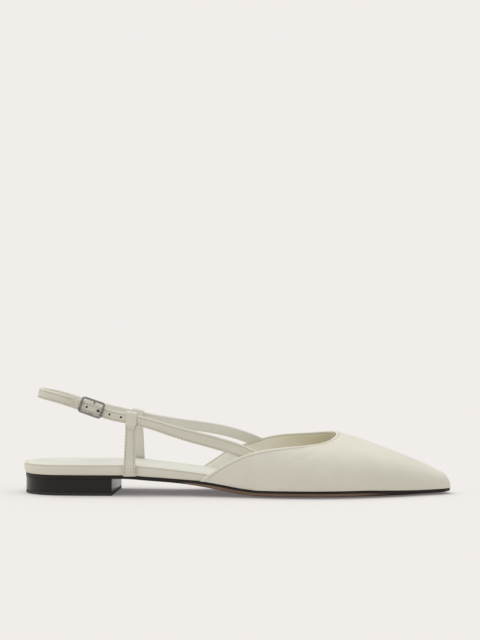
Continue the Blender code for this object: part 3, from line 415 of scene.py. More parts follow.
def flare(x):
    """How far the rim's top stands outside its foot."""
    return RIM_FLARE * flare_share_at(x / LENGTH)


def roll_radius(x):
    """Radius of the footbed's rolled edge."""
    return np.minimum(RIM_ROLL, 0.3 * (rim_top(x) - feather(x) - GAP))


def tray_floor(x):
    """Floor of the footbed's tray, under the sock."""
    foot = feather(x) + GAP
    return rim_top(x) - np.minimum(SOCK_RECESS, 0.55 * (rim_top(x) - foot))


def plan_stations(cap, body):
    """Stations along the footbed: equal turns round its two ends, equal steps between them."""
    turn = np.linspace(0, np.pi / 2, cap + 1)
    heel = FOOTBED_START + SEAT_WIDTH / 2 * (1 - np.cos(turn))
    toe = FOOTBED_END - TOE_POINT * (1 - np.cos(turn[::-1]))
    return np.concatenate([heel[:-1], np.linspace(heel[-1], toe[0], body + 1), toe[1:]])


def footbed_ring(x):
    """Footbed outline in plan: outer side from heel to toe, then the inner side back."""
    outer = np.stack([x, middle(x) - footbed_half(x)], axis=1)
    inner = np.stack([x, middle(x) + footbed_half(x)], axis=1)
    return np.concatenate([outer, inner[-2:0:-1]])


def grown(ring, by):
    """A plan outline moved outwards by a distance, square to itself."""
    along = unit(np.roll(ring, -1, axis=0) - np.roll(ring, 1, axis=0))
    out = np.stack([along[:, 1], -along[:, 0]], axis=1)
    return ring + out * np.broadcast_to(by, len(ring))[:, None]


FINE_CAP, FINE_BODY = 60, 200
LASTED = grown(footbed_ring(plan_stations(FINE_CAP, FINE_BODY)), GAP + WALL)
TIP = FINE_CAP * 2 + FINE_BODY
LASTED_OUTER, LASTED_INNER = LASTED[: TIP + 1], LASTED[: TIP - 1 : -1]


def upper_point(x, angle):
    """Outside of the last. Each cross section is a quarter superellipse from the outer edge up to the
    ridge and another down to the inner edge; angle runs 0, pi / 2, pi across it."""
    s = x / LENGTH
    outer_y = np.interp(x, *LASTED_OUTER.T)
    inner_y = np.interp(x, *LASTED_INNER.T)
    half = (inner_y - outer_y) / 2
    ridge_y = (inner_y + outer_y) / 2 + RIDGE_SHIFT * shift_share_at(s)
    outer = ridge_y - outer_y
    inner = inner_y - ridge_y
    reach = np.abs(np.cos(angle)) ** flank_at(s)
    swell = WALL_BULGE * np.sin(np.pi * np.clip(np.minimum(angle, np.pi - angle) / 1.1, 0, 1))
    swell = swell * np.clip(half / 0.020, 0, 1)
    side = np.where(angle < np.pi / 2, -outer * reach - swell, inner * reach + swell)
    foot = feather(x) + GAP + EDGE_DROP
    height = (THROAT_HEIGHT * ridge_share_at(s) - foot) * round_end(LENGTH - x, TOE_ROUND)
    upward = np.clip(np.sin(angle), 0, 1)
    rise = height * upward ** crest_at(s) - EDGE_DROP * (1 - upward) ** 4
    return np.stack([x, ridge_y + side, foot + rise], axis=-1)


def slopes(x, angle):
    """Steps of the last's outside along its length and across it, and the direction out of it."""
    small = 1e-4
    along = (upper_point(x + small, angle) - upper_point(x - small, angle)) / (2 * small)
    low, high = np.maximum(angle - small, 0), np.minimum(angle + small, np.pi)
    across = (upper_point(x, high) - upper_point(x, low)) / (high - low)[..., None]
    return along, across, unit(np.cross(along, across))


def angle_of(station, share, side):
    """Angle on the last at a height given as a share of the last's own height."""
    angle = np.arcsin(share ** (1 / crest_at(station)))
    return angle if side < 0 else np.pi - angle


def upper_frame(station, share, side):
    """A point on the outside of the upper and the direction straight out of it there."""
    x, angle = np.array(station * LENGTH), np.array(angle_of(station, share, side))
    return upper_point(x, angle), slopes(x, angle)[2]


def topline(count):
    """Edge of the upper as stations and angles, evenly spaced along it."""
    rows = [(s * LENGTH, angle_of(s, share, side)) for s, share, side in TOPLINE]
    placed = np.array([upper_point(x, angle) for x, angle in rows])
    run = run_of(placed)
    found = smooth_curve(run, rows)(np.linspace(0, run[-1], count))
    return found[:, 0], np.clip(found[:, 1], 0, np.pi)


def inset_edge(x, angle, distance, steps=6):
    """The edge of the upper moved into the leather by a distance, square to itself: small steps on the
    surface, each solved for station and angle from the surface's own slopes."""
    for _ in range(steps):
        here = upper_point(x, angle)
        run = unit(np.gradient(here, axis=0))
        along, across, out = slopes(x, angle)
        into = unit(np.cross(out, run))
        into = into * np.sign(into[:, :1] + 1e-9)
        step = into * distance / steps
        aa, bb = np.sum(along * along, -1), np.sum(across * across, -1)
        ab = np.sum(along * across, -1)
        a, b = np.sum(along * step, -1), np.sum(across * step, -1)
        det = aa * bb - ab * ab
        x = x + (a * bb - b * ab) / det
        angle = np.clip(angle + (b * aa - a * ab) / det, 0, np.pi)
    return x, angle


def origin():
    """Where the solids put their zero: below the middle of the length and of the upper's width."""
    edge_x, edge_angle = topline(31)
    spread = np.sin(np.linspace(0, 1, 27) * np.pi / 2)
    x = edge_x[None, :] + (LENGTH - TIP_CLEAR - edge_x[None, :]) * spread[:, None]
    y = upper_point(x, np.broadcast_to(edge_angle, x.shape))[..., 1]
    return np.array([LENGTH / 2, (y.min() + y.max()) / 2, 0.0])


ORIGIN = origin()


# Meshes from arrays
def quads(rows, columns, start=0, wrap=False):
    """Four-cornered faces between neighbouring rows and columns of a grid; wrap closes the columns."""
    r = np.arange(rows - 1)[:, None]
    c = np.arange(columns if wrap else columns - 1)[None, :]
    n = (c + 1) % columns
    corners = (r * columns + c, (r + 1) * columns + c, (r + 1) * columns + n, r * columns + n)
    return np.stack(np.broadcast_arrays(*corners), axis=-1).reshape(-1, 4) + start


def linked(name, data):
    """A new object in the scene."""
    item = bpy.data.objects.new(name, data)
    bpy.context.scene.collection.objects.link(item)
    return item


def piece(name, blocks, material, sharp=40, node=None, marks=None, face_out=False):
    """An object from blocks of (points, groups of faces). Doubled points are joined, so seams close. marks
    are values for each point, by the name of their attribute."""
    points, faces, start = [], [], 0
    for block_points, block_faces in blocks:
        flat = np.asarray(block_points, float).reshape(-1, 3)
        points.append(flat)
        for group in block_faces:
            faces += (np.asarray(group) + start).tolist()
        start += len(flat)
    mesh = bpy.data.meshes.new(name)
    mesh.from_pydata((np.concatenate(points) - ORIGIN).tolist(), [], faces)
    if marks is not None:
        for key, values in marks.items():
            layer = mesh.attributes.new(key, "FLOAT", "POINT")
            layer.data.foreach_set("value", np.asarray(values, np.float32).ravel())
    work = bmesh.new()
    work.from_mesh(mesh)
    bmesh.ops.remove_doubles(work, verts=work.verts, dist=1e-6)
    bmesh.ops.dissolve_degenerate(work, edges=work.edges, dist=1e-7)
    if face_out:
        bmesh.ops.recalc_face_normals(work, faces=work.faces)
    work.to_mesh(mesh)
    work.free()
    mesh.shade_smooth()
    mesh.set_sharp_from_angle(angle=math.radians(sharp))
    mesh.materials.append(material)
    item = linked(name, mesh)
    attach(item, "root")
    if node:
        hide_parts(node)
    return item


def plate_blocks(rings, floor, ceiling, shares=24):
    """A flat piece: rings stacked from low to high, then its two faces as grids between the outer and the
    inner half of the end rings. floor and ceiling give their heights from x and the share across."""
    count = len(rings[0])
    last = count // 2
    blocks = [(np.stack(rings), [quads(len(rings), count, wrap=True)[:, ::-1]])]
    share = np.sin(np.linspace(-1, 1, shares + 1) * np.pi / 2)
    for ring, height, upward in ((rings[0], floor, False), (rings[-1], ceiling, True)):
        outer = ring[: last + 1]
        inner = np.concatenate([ring[:1], ring[:last - 1:-1]])
        centre, half = (outer + inner) / 2, (inner - outer) / 2
        grid = centre[:, None] + half[:, None] * share[None, :, None]
        inside = height(grid[..., 0], np.abs(share)[None, :])
        grid[:, 1:-1, 2] = inside[:, 1:-1]
        grid[0, :, 2], grid[-1, :, 2] = outer[0, 2], outer[-1, 2]
        faces = quads(last + 1, shares + 1)
        blocks.append((grid, [faces if upward else faces[:, ::-1]]))
    return blocks


def raised(ring, height):
    """A plan outline as points in space."""
    return np.column_stack([ring, np.broadcast_to(height, len(ring))])


def rounded_rings(edge, top, radius, degrees):
    """Quarter round from an upright side to a flat top: the outline drawn in and raised by angle."""
    return [
        raised(grown(edge, -radius * (1 - math.cos(turn))), top - radius * (1 - math.sin(turn)))
        for turn in np.radians(degrees)
    ]


def folded_faces(count, columns):
    """Faces of a shell folded along its middle row: the grid, its two long sides closed row by row, and its
    first and last rows, both at the toe, each closed by one face."""
    r = np.arange(count // 2)[:, None]
    left = np.concatenate([r, r + 1, count - 2 - r, count - 1 - r], axis=1) * columns
    right = left[:, ::-1] + columns - 1
    tip = np.arange(columns)
    last = tip[::-1] + (count - 1) * columns
    return [quads(count, columns)[:, ::-1], left, right, [tip.tolist()], [last.tolist()]]


def tube_blocks(rings):
    """A closed body from rings along a path, each end closed by a fan round its own middle."""
    rows, columns = rings.shape[:2]
    ends = np.stack([rings[0].mean(axis=0), rings[-1].mean(axis=0)])
    c = np.arange(columns)
    n = (c + 1) % columns
    low, high = rows * columns, rows * columns + 1
    first = np.stack([np.full(columns, low), n, c], axis=1)
    last = np.stack([np.full(columns, high), c + low - columns, n + low - columns], axis=1)
    points = np.concatenate([rings.reshape(-1, 3), ends])
    return [(points, [quads(rows, columns, wrap=True)[:, ::-1], first, last])]


PROFILE = 60
PROFILE_TURN = full_turn(PROFILE) + np.pi / PROFILE


def lined_marks(rings, sign):
    """The lined attribute of a strap: 1 on the face where the profile's sine has this sign, 0 on the other,
    and half for the middles of its two ends."""
    lined = np.sin(PROFILE_TURN) * sign > 0
    return {"lined": np.append(np.broadcast_to(lined, rings.shape[:2]).ravel(), [0.5, 0.5])}


def strap_rings(centres, across, out, width, thick, seams=(), edges=(TOP_ROLL, LOW_ROLL), puff=0.00008):
    """Strap sections. An edge is half an ellipse, edges[0] wide at +y and edges[1] at -y; between them the
    face swells as the square root of 1 - y squared, with a bell-shaped groove at each seam. A seam is its
    distance from the edge at +y or, if negative, at -y."""
    count = len(centres)
    half_w = np.broadcast_to(width, count)[:, None] / 2
    half_t = np.broadcast_to(thick, count)[:, None] / 2
    y_share = np.sign(np.cos(PROFILE_TURN)) * np.abs(np.cos(PROFILE_TURN)) ** 0.8
    y = half_w * y_share
    corner = np.minimum(np.where(y_share > 0, edges[0], edges[1]), half_w * 0.6)
    inside = np.clip((half_w - np.abs(y)) / corner, 0, 1)
    lift = half_t * np.sqrt(1 - (1 - inside) ** 2)
    padded = puff * np.sqrt(np.clip(1 - y_share**2, 0, 1))
    for seam in seams:
        groove = half_w - seam if seam > 0 else -(half_w + seam)
        padded = padded - SEAM_DEPTH * hump(y - groove, SEAM_HALF)
    z = np.sign(np.sin(PROFILE_TURN)) * (lift + padded * inside)
    return centres[:, None] + across[:, None] * y[..., None] + out[:, None] * z[..., None]


def sling_curve(side):
    """Sling from its end in the upper, through its loop, to the middle of the back."""
    (end, end_out), (edge, edge_out) = (upper_frame(*row, side) for row in STRAP_ENDS[side])
    tail = WALL + TAIL_GAP + TAIL_THICKNESS / 2
    loop_x = UPRIGHT_STATION * LENGTH
    draw = footbed_half(loop_x) - LOOP_DRAW
    loop = np.array([loop_x, middle(loop_x) + side * draw, LOOP_HEIGHT])
    back = np.array([BACK_INSET, middle(BACK_INSET), BACK_HEIGHT])
    edge = edge - edge_out * (WALL + TAIL_GAP + STRAP_THICKNESS / 2)
    points = [end - end_out * tail, edge]
    for share, up, wide in STRAP_ROUTE[side]:
        bow = np.array([0, side * wide, up]) * STRAP_BOW
        points.append(edge + (loop - edge) * share + bow)
    points.append(loop)
    for share, rise, wide in SLING_ROUTE[side]:
        middle_line = loop + (back - loop) * np.array([share, 1, rise])
        points.append(middle_line + np.array([0, (loop[1] - back[1]) * wide, 0]))
    points = np.array([*points, back])
    heading = np.gradient(points, axis=0)
    heading[-1] = (0, -side, 0)
    outs = unit(np.cross((0, 0, side), heading * -1))
    lean = SIDE_LEAN + (BACK_LEAN - SIDE_LEAN) * np.clip((loop[0] - points[:, 0]) / loop[0], 0, 1)
    outs = outs * np.cos(lean)[:, None] + np.outer(np.sin(lean), (0, 0, 1))
    outs[:2] = end_out, edge_out
    return points, outs


class Sling:
    """The sling as curves of its own length: place, facing, width and thickness."""

    def __init__(self):
        halves = {side: sling_curve(side) for side in (-1, 1)}
        points = np.concatenate([halves[-1][0], halves[1][0][-2::-1]])
        outs = np.concatenate([halves[-1][1], halves[1][1][-2::-1]])
        knots = run_of(points)
        self.place = smooth_curve(knots, points)
        self.facing = smooth_curve(knots, outs)
        self.end = knots[-1]
        self.loop = {-1: knots[4], 1: knots[len(knots) - 5]}
        self.edge = {-1: knots[1], 1: knots[-2]}
        self.buckle = self.loop[-1] + BUCKLE_FROM_LOOP

    def frame(self, run):
        """Place, direction along, direction across the strap's width, and out of its face."""
        run = np.asarray(run, float)
        small = 1e-5
        along = unit(self.place(run + small) - self.place(run - small))
        out = self.facing(run)
        out = unit(out - along * np.sum(out * along, axis=-1, keepdims=True))
        across = np.cross(along, out)
        across = across * np.sign(across[..., 2:])
        return self.place(run), along, across, out

    def width(self, run):
        """Strap width: wider towards the upper."""
        front = np.clip((self.loop[-1] - run) / (self.loop[-1] - self.edge[-1]), 0, 1)
        front = np.maximum(front, np.clip((run - self.loop[1]) / (self.edge[1] - self.loop[1]), 0, 1))
        return SLING_WIDTH + (STRAP_WIDTH - SLING_WIDTH) * front

    def thickness(self, run):
        """Strap thickness: skived to its end inside the upper."""
        skive = np.clip(np.minimum(run, self.end - run) / self.edge[-1], 0, 1)
        return TAIL_THICKNESS + (STRAP_THICKNESS - TAIL_THICKNESS) * ease(skive)


TONGUE_LEVEL = 0.0005
LEAF_LEVEL = TONGUE_LEVEL - TONGUE_THICKNESS / 2 - GAP - LEAF_THICKNESS / 2
BAR_LEVEL = LEAF_LEVEL - LEAF_THICKNESS / 2 - GAP - BAR_RADIUS
FRAME_LEVEL = TONGUE_LEVEL + TONGUE_THICKNESS / 2 + GAP + FRAME_WIRE / 2
BUCKLE_BLEND = 0.0060


def buckled(sling, run, reach):
    """1 within a distance of the buckle's middle, easing to 0 beyond it."""
    return 1 - ease((np.abs(run - sling.buckle) - reach) / BUCKLE_BLEND)


# Materials
def socket_group(name, inputs, outputs):
    """An empty shader group with named float inputs (name, value) and named outputs (name, kind)."""
    tree = bpy.data.node_groups.new(name, "ShaderNodeTree")
    for label, value in inputs:
        socket = tree.interface.new_socket(label, in_out="INPUT", socket_type="NodeSocketFloat")
        socket.default_value = value
    for label, kind in outputs:
        tree.interface.new_socket(label, in_out="OUTPUT", socket_type=kind)
    return tree, tree.nodes.new("NodeGroupInput"), tree.nodes.new("NodeGroupOutput")


def add(tree, kind, settings=None, **values):
    """A node with its settings and its input values, by name or, as n0, n1 and so on, by number; a value may
    be another node's output socket."""
    node = tree.nodes.new(kind)
    for key, value in (settings or {}).items():
        setattr(node, key, value)
    for key, value in values.items():
        label = int(key[1:]) if key[0] == "n" and key[1:].isdigit() else key.replace("_", " ")
        socket = node.inputs[label]
        if isinstance(value, bpy.types.NodeSocket):
            tree.links.new(value, socket)
        else:
            socket.default_value = value
    return node


def sums(tree, operation, *values, clamp=False):
    """One arithmetic step on two or three values."""
    given = {f"n{place}": value for place, value in enumerate(values)}
    return add(tree, "ShaderNodeMath", {"operation": operation, "use_clamp": clamp}, **given).outputs[0]


def grain_group():
    """Leather grain: pebbles with creases between them, fading in and out over a slow cloud, and a fine
    pore noise. Height drives a bump, Tone is the slow cloud of dye, Pores marks the low places."""
    tree, given, made = socket_group(
        "leather_grain",
        [("Pebble", 1500.0), ("Pore", 6000.0), ("Cloud", 45.0)],
        [("Height", "NodeSocketFloat"), ("Tone", "NodeSocketFloat"), ("Pores", "NodeSocketFloat")],
    )
    place = add(tree, "ShaderNodeTexCoord").outputs["Object"]
    warp = add(tree, "ShaderNodeTexNoise", Vector=place, Scale=420.0, Detail=2.0)
    shift = add(tree, "ShaderNodeVectorMath", {"operation": "SCALE"}, n0=warp.outputs["Color"], Scale=0.0008)
    bent = add(tree, "ShaderNodeVectorMath", {"operation": "ADD"}, n0=place, n1=shift.outputs[0])
    pebble = add(
        tree, "ShaderNodeTexVoronoi", {"feature": "DISTANCE_TO_EDGE"},
        Vector=bent.outputs[0], Scale=given.outputs["Pebble"],
    )
    crease = add(tree, "ShaderNodeMapRange", Value=pebble.outputs["Distance"], n1=0.0, n2=0.22)
    pore = add(tree, "ShaderNodeTexNoise", Vector=place, Scale=given.outputs["Pore"], Detail=3.0)
    cloud = add(tree, "ShaderNodeTexNoise", Vector=place, Scale=given.outputs["Cloud"], Detail=3.0)
    patch = add(tree, "ShaderNodeMapRange", Value=cloud.outputs["Fac"], n1=0.35, n2=0.65, n3=0.45, n4=1.0)
    low = sums(tree, "MULTIPLY", crease.outputs[0], patch.outputs[0])
    height = sums(tree, "MULTIPLY_ADD", pore.outputs["Fac"], 0.35, low)
    tree.links.new(height, made.inputs["Height"])
    tree.links.new(cloud.outputs["Fac"], made.inputs["Tone"])
    tree.links.new(sums(tree, "SUBTRACT", 1.0, crease.outputs[0], clamp=True), made.inputs["Pores"])
    return tree


def handling_group():
    """Marks of handling: soft smudges where two slow clouds are both high, and fine rubs along the shoe."""
    tree, given, made = socket_group(
        "handling_marks", [("Amount", 1.0), ("Size", 30.0)],
        [("Smudge", "NodeSocketFloat"), ("Rub", "NodeSocketFloat")],
    )
    place = add(tree, "ShaderNodeTexCoord").outputs["Object"]
    first = add(tree, "ShaderNodeTexNoise", Vector=place, Scale=given.outputs["Size"], Detail=4.0)
    band = add(tree, "ShaderNodeMapRange", Value=first.outputs["Fac"], n1=0.52, n2=0.75)
    smudge = sums(tree, "MULTIPLY", band.outputs[0], given.outputs["Amount"], clamp=True)
    long = add(tree, "ShaderNodeMapping", Vector=place, Scale=(60.0, 900.0, 900.0))
    rub = add(tree, "ShaderNodeTexNoise", Vector=long.outputs[0], Scale=1.0, Detail=2.0)
    fine = add(tree, "ShaderNodeMapRange", Value=rub.outputs["Fac"], n1=0.58, n2=0.80)
    rubbed = sums(tree, "MULTIPLY", fine.outputs[0], given.outputs["Amount"], clamp=True)
    tree.links.new(smudge, made.inputs["Smudge"])
    tree.links.new(rubbed, made.inputs["Rub"])
    return tree


GRAIN = grain_group()
HANDLING = handling_group()


def finish(name, **values):
    """A new material and its shader, with plain values on the shader's own sockets."""
    made = bpy.data.materials.new(name)
    made.use_nodes = True
    shader = made.node_tree.nodes["Principled BSDF"]
    for key, value in values.items():
        shader.inputs[key.replace("_", " ")].default_value = value
    return made, made.node_tree, shader


def grouped(tree, group, **values):
    """A group placed in a material with its own values."""
    node = tree.nodes.new("ShaderNodeGroup")
    node.node_tree = group
    for key, value in values.items():
        node.inputs[key].default_value = value
    return node


def blend(tree, amount, first, second):
    """Two colours mixed by an amount."""
    node = add(tree, "ShaderNodeMix", {"data_type": "RGBA"})
    for socket, value in ((node.inputs[0], amount), (node.inputs[6], first), (node.inputs[7], second)):
        if isinstance(value, bpy.types.NodeSocket):
            tree.links.new(value, socket)
        else:
            socket.default_value = value
    return node.outputs[2]


def dress(tree, shader, base, height, strength, distance):
    """Colour on a shader, and a bump from a height."""
    tree.links.new(base, shader.inputs["Base Color"])
    bump = add(tree, "ShaderNodeBump", Strength=strength, Distance=distance, Height=height)
    tree.links.new(bump.outputs[0], shader.inputs["Normal"])


def dull(tree, shader, amount, gain, least):
    """Roughness that grows from its least value with an amount."""
    tree.links.new(sums(tree, "MULTIPLY_ADD", amount, gain, least), shader.inputs["Roughness"])


def leather(name, colour, deep, roughness, pebble, depth, sheen, soil, inside=None):
    """Dyed leather: the colour drifts towards the deep tone over slow clouds and in the pores, smudges dull
    it, and the grain's height bumps it. inside is the colour of a strap's lined face, by the piece's own
    lined attribute."""
    made, tree, shader = finish(name, IOR=1.45, Sheen_Weight=sheen, Sheen_Roughness=0.5)
    grain = grouped(tree, GRAIN, Pebble=pebble, Pore=pebble * 4)
    marks = grouped(tree, HANDLING, Amount=soil)
    tone = add(tree, "ShaderNodeMapRange", Value=grain.outputs["Tone"], n1=0.3, n2=0.7, n3=0.0, n4=0.55)
    base = blend(tree, tone.outputs[0], (*colour, 1.0), (*deep, 1.0))
    if inside:
        lined = add(tree, "ShaderNodeAttribute", {"attribute_name": "lined"}).outputs["Fac"]
        base = blend(tree, lined, base, (*inside, 1.0))
    pores = sums(tree, "MULTIPLY", grain.outputs["Pores"], 0.22)
    base = blend(tree, pores, base, (*[c * 0.82 for c in deep], 1.0))
    base = blend(tree, marks.outputs["Smudge"], base, (*[c * 0.80 for c in deep], 1.0))
    dull(tree, shader, marks.outputs["Smudge"], 0.30, roughness)
    dress(tree, shader, base, grain.outputs["Height"], 0.6, depth)
    return made


def sole_leather():
    """Sole leather: black ink on the edge, tan where the bevel and the bottom are bare, by the piece's own
    bare attribute, with scuffs along the shoe."""
    made, tree, shader = finish("sole_leather", IOR=1.33)
    bare = add(tree, "ShaderNodeAttribute", {"attribute_name": "bare"}).outputs["Fac"]
    grain = grouped(tree, GRAIN, Pebble=900.0, Pore=5200.0, Cloud=60.0)
    marks = grouped(tree, HANDLING, Amount=0.5, Size=70.0)
    tan = blend(tree, grain.outputs["Tone"], (0.255, 0.168, 0.112, 1), (0.165, 0.106, 0.070, 1))
    tan = blend(tree, marks.outputs["Rub"], tan, (0.30, 0.19, 0.12, 1))
    ink = blend(tree, marks.outputs["Smudge"], (0.014, 0.010, 0.0075, 1), (0.026, 0.020, 0.016, 1))
    # a low bare value, as at the bevel's foot, blends towards the dark ink: painted contact shade there
    ragged = sums(tree, "MULTIPLY_ADD", grain.outputs["Height"], 0.10, bare)
    edge = add(tree, "ShaderNodeMapRange", Value=ragged, n1=0.35, n2=0.75).outputs[0]
    dull(tree, shader, edge, 0.20, 0.42)
    dress(tree, shader, blend(tree, edge, ink, tan), grain.outputs["Height"], 0.5, 0.00003)
    return made


def lacquer():
    """Heel lacquer: glossy and nearly black, with faint smudges and rubs."""
    made, tree, shader = finish("black_lacquer", IOR=1.33)
    marks = grouped(tree, HANDLING, Amount=0.35, Size=90.0)
    base = blend(tree, marks.outputs["Smudge"], (0.013, 0.0115, 0.0105, 1), (0.026, 0.0225, 0.0205, 1))
    dull(tree, shader, marks.outputs["Rub"], 0.25, 0.24)
    dress(tree, shader, base, marks.outputs["Rub"], 0.2, 0.00002)
    return made


def lift_rubber():
    """Dull black rubber of the top lift."""
    made, tree, shader = finish("lift_rubber", Roughness=0.7)
    grain = grouped(tree, GRAIN, Pebble=2600.0, Pore=7000.0)
    base = blend(tree, grain.outputs["Tone"], (0.016, 0.015, 0.015, 1), (0.030, 0.028, 0.027, 1))
    dress(tree, shader, base, grain.outputs["Height"], 0.4, 0.00003)
    return made


def buckle_steel():
    """Polished steel: smudges darken and dull it, and fine rubs bump it."""
    made, tree, shader = finish("buckle_steel", Metallic=1.0)
    marks = grouped(tree, HANDLING, Amount=0.8, Size=400.0)
    base = blend(tree, marks.outputs["Smudge"], (0.270, 0.263, 0.248, 1), (0.150, 0.145, 0.135, 1))
    dull(tree, shader, marks.outputs["Smudge"], 0.18, 0.14)
    dress(tree, shader, base, marks.outputs["Rub"], 0.15, 0.00001)
    return made


def thread():
    """Waxed thread: two plies twisted, as fine slanting ridges."""
    made, tree, shader = finish("waxed_thread", Roughness=0.55)
    place = add(tree, "ShaderNodeTexCoord").outputs["Object"]
    ply = add(
        tree, "ShaderNodeTexWave", {"bands_direction": "DIAGONAL"}, Vector=place, Scale=900.0, Distortion=1.0
    )
    base = blend(tree, ply.outputs["Fac"], (0.56, 0.53, 0.42, 1), (0.72, 0.69, 0.58, 1))
    dress(tree, shader, base, ply.outputs["Fac"], 0.5, 0.00004)
    return made


def lining_leather():
    """Lining, with painted light and shade along x: pale cream at the back, lifted near white as painted
    light on the shaded inner wall, turning to a darker warm straw towards the toe as painted shade and bounce
    light deep in the throat.
    """
    made, tree, shader = finish("cream_lining_leather", Roughness=0.6)
    grain = grouped(tree, GRAIN, Pebble=2200.0, Pore=8800.0)
    marks = grouped(tree, HANDLING, Amount=0.25)
    place = add(tree, "ShaderNodeTexCoord").outputs["Object"]
    along = add(tree, "ShaderNodeSeparateXYZ", Vector=place).outputs["X"]
    # painted shade: the colour darkens to warm straw along x, standing for shade and bounce light deep in the
    # throat
    deep = add(tree, "ShaderNodeMapRange", Value=along, n1=-0.012, n2=0.055)
    base = blend(tree, deep.outputs[0], (0.98, 0.975, 0.91, 1), (0.95, 0.885, 0.70, 1))
    pores = sums(tree, "MULTIPLY", grain.outputs["Pores"], 0.2)
    base = blend(tree, pores, base, (0.72, 0.66, 0.50, 1))
    base = blend(tree, marks.outputs["Smudge"], base, (0.74, 0.69, 0.54, 1))
    dress(tree, shader, base, grain.outputs["Height"], 0.6, 0.00002)
    return made


def shaded_cut_leather(name, first, second):
    """Bare cut leather with painted shade: a fine fibre noise between two dark browns that stand in for the
    shade down a hole, dull all over.
    """
    made, tree, shader = finish(name, Roughness=0.85)
    place = add(tree, "ShaderNodeTexCoord").outputs["Object"]
    fibre = add(tree, "ShaderNodeTexNoise", Vector=place, Scale=9000.0, Detail=2.0)
    base = blend(tree, fibre.outputs["Fac"], (*first, 1), (*second, 1))
    dress(tree, shader, base, fibre.outputs["Fac"], 0.4, 0.00003)
    return made


CALF = leather(
    "cream_calf", (0.742, 0.716, 0.610), (0.680, 0.648, 0.535), roughness=0.42, pebble=1500.0,
    depth=0.000030, sheen=0.05, soil=0.22,
)
STRAP_CALF = leather(
    "cream_strap_calf", (0.672, 0.645, 0.540), (0.605, 0.572, 0.462), roughness=0.46, pebble=1900.0,
    depth=0.000025, sheen=0.05, soil=0.30, inside=(0.770, 0.748, 0.664),
)
LINING = lining_leather()
SOCK = leather(
    "cream_sock_leather", (0.705, 0.695, 0.612), (0.665, 0.650, 0.560), roughness=0.52, pebble=1700.0,
    depth=0.00002, sheen=0.08, soil=0.35,
)
SOLE_LEATHER = sole_leather()
LACQUER = lacquer()
RUBBER = lift_rubber()
STEEL = buckle_steel()
THREAD = thread()
# painted shade: dark lenses that stand for the shade down each needle hole
NEEDLE_HOLE_SHADE = shaded_cut_leather("needle_hole_shade", (0.105, 0.088, 0.060), (0.160, 0.135, 0.095))
# painted shade: the dark cups in the punched holes stand for the shade behind the strap
HOLE_SHADE = shaded_cut_leather("punched_hole_shade", (0.075, 0.062, 0.045), (0.120, 0.100, 0.075))


# Pieces
def stitch_blocks(places, along, out, length=STITCH_LENGTH, thick=STITCH_THICK):
    """Stitches: each a bead 6 sides round and 5 rings long, its radius the square root of 1 - t squared,
    flattened towards the leather and sunk into it by a third."""
    t = np.array([-1.0, -0.72, 0.0, 0.72, 1.0])
    sides = 6
    radius = np.sqrt(np.clip(1 - t**2, 0.02, 1)) * thick / 2
    turn = full_turn(sides)
    side = unit(np.cross(out, along))
    ring_side = radius[:, None] * np.cos(turn)[None, :]
    ring_out = radius[:, None] * np.sin(turn)[None, :] * 0.8 + thick * 0.12
    local = (
        along[:, None, None] * (t[:, None] * length / 2 + 0 * turn)[None, :, :, None]
        + side[:, None, None] * ring_side[None, :, :, None]
        + out[:, None, None] * ring_out[None, :, :, None]
    )
    points = (places[:, None, None] + local).reshape(-1, 3)
    start = np.arange(len(places))[:, None, None] * len(t) * sides
    faces = quads(len(t), sides, wrap=True)[None, :, ::-1] + start
    end = np.arange(sides)
    caps = np.stack([end[::-1], end + (len(t) - 1) * sides])[None] + start
    return [(points, [faces.reshape(-1, 4), caps.reshape(-1, sides)])]


def needle_shade_blocks(places, along, out):
    """Painted shade of needle holes: each a dark flat lens of 8 sides, its rim in the seam's groove and its
    foot in the leather.
    """
    side = unit(np.cross(out, along))
    sides = 8
    turn = full_turn(sides)
    rim = along[:, None] * np.cos(turn)[:, None] + side[:, None] * np.sin(turn)[:, None]
    rim = places[:, None] + rim * NEEDLE_RADIUS
    crown = (places + out * 0.00002)[:, None]
    foot = (places - out * 0.00015)[:, None]
    points = np.concatenate([rim, crown, foot], axis=1).reshape(-1, 3)
    c = np.arange(sides)
    n = (c + 1) % sides
    one = np.concatenate([np.stack([c, n, 0 * c + sides], 1), np.stack([n, c, 0 * c + sides + 1], 1)])
    faces = one[None] + np.arange(len(places))[:, None, None] * (sides + 2)
    return [(points, [faces.reshape(-1, 3)])]


def sew(name, rows, pitch=STITCH_PITCH, length=STITCH_LENGTH):
    """Thread and the painted shade of needle holes along rows of (line, facing): even stitches with a dark
    lens of painted shade at each end.
    """
    threads, needle_shades = [], []
    for line, out in rows:
        run = run_of(line)
        slope = np.gradient(line, axis=0)
        for at, found in (
            (np.arange(pitch, run[-1] - pitch, pitch), threads),
            (np.arange(pitch / 2, run[-1], pitch), needle_shades),
        ):
            places, facing, heading = (
                np.stack([np.interp(at, run, values[:, k]) for k in range(3)], axis=1)
                for values in (line, out, slope)
            )
            facing = unit(facing)
            heading = unit(heading - facing * np.sum(heading * facing, axis=1, keepdims=True))
            if found is threads:
                found += stitch_blocks(places, heading, facing, length)
            else:
                found += needle_shade_blocks(places, heading, facing)
    piece(name + "_stitches", threads, THREAD, 60, None)
    piece(name + "_needle_hole_shades", needle_shades, NEEDLE_HOLE_SHADE, 60, None, face_out=True)


# Stem of the prong, past its hole: along the strap, height over the low level or over the top level
STEM_LOW = ((-0.0032, 0.0), (-0.0014, 0.0), (-0.0008, 0.0001), (-0.0005, 0.0005), (0.0003, 0.0020))
STEM_TOP = ((0.0009, -0.0009), (0.0017, -0.0002), (0.0025, 0.0), (0.0037, -0.0001))

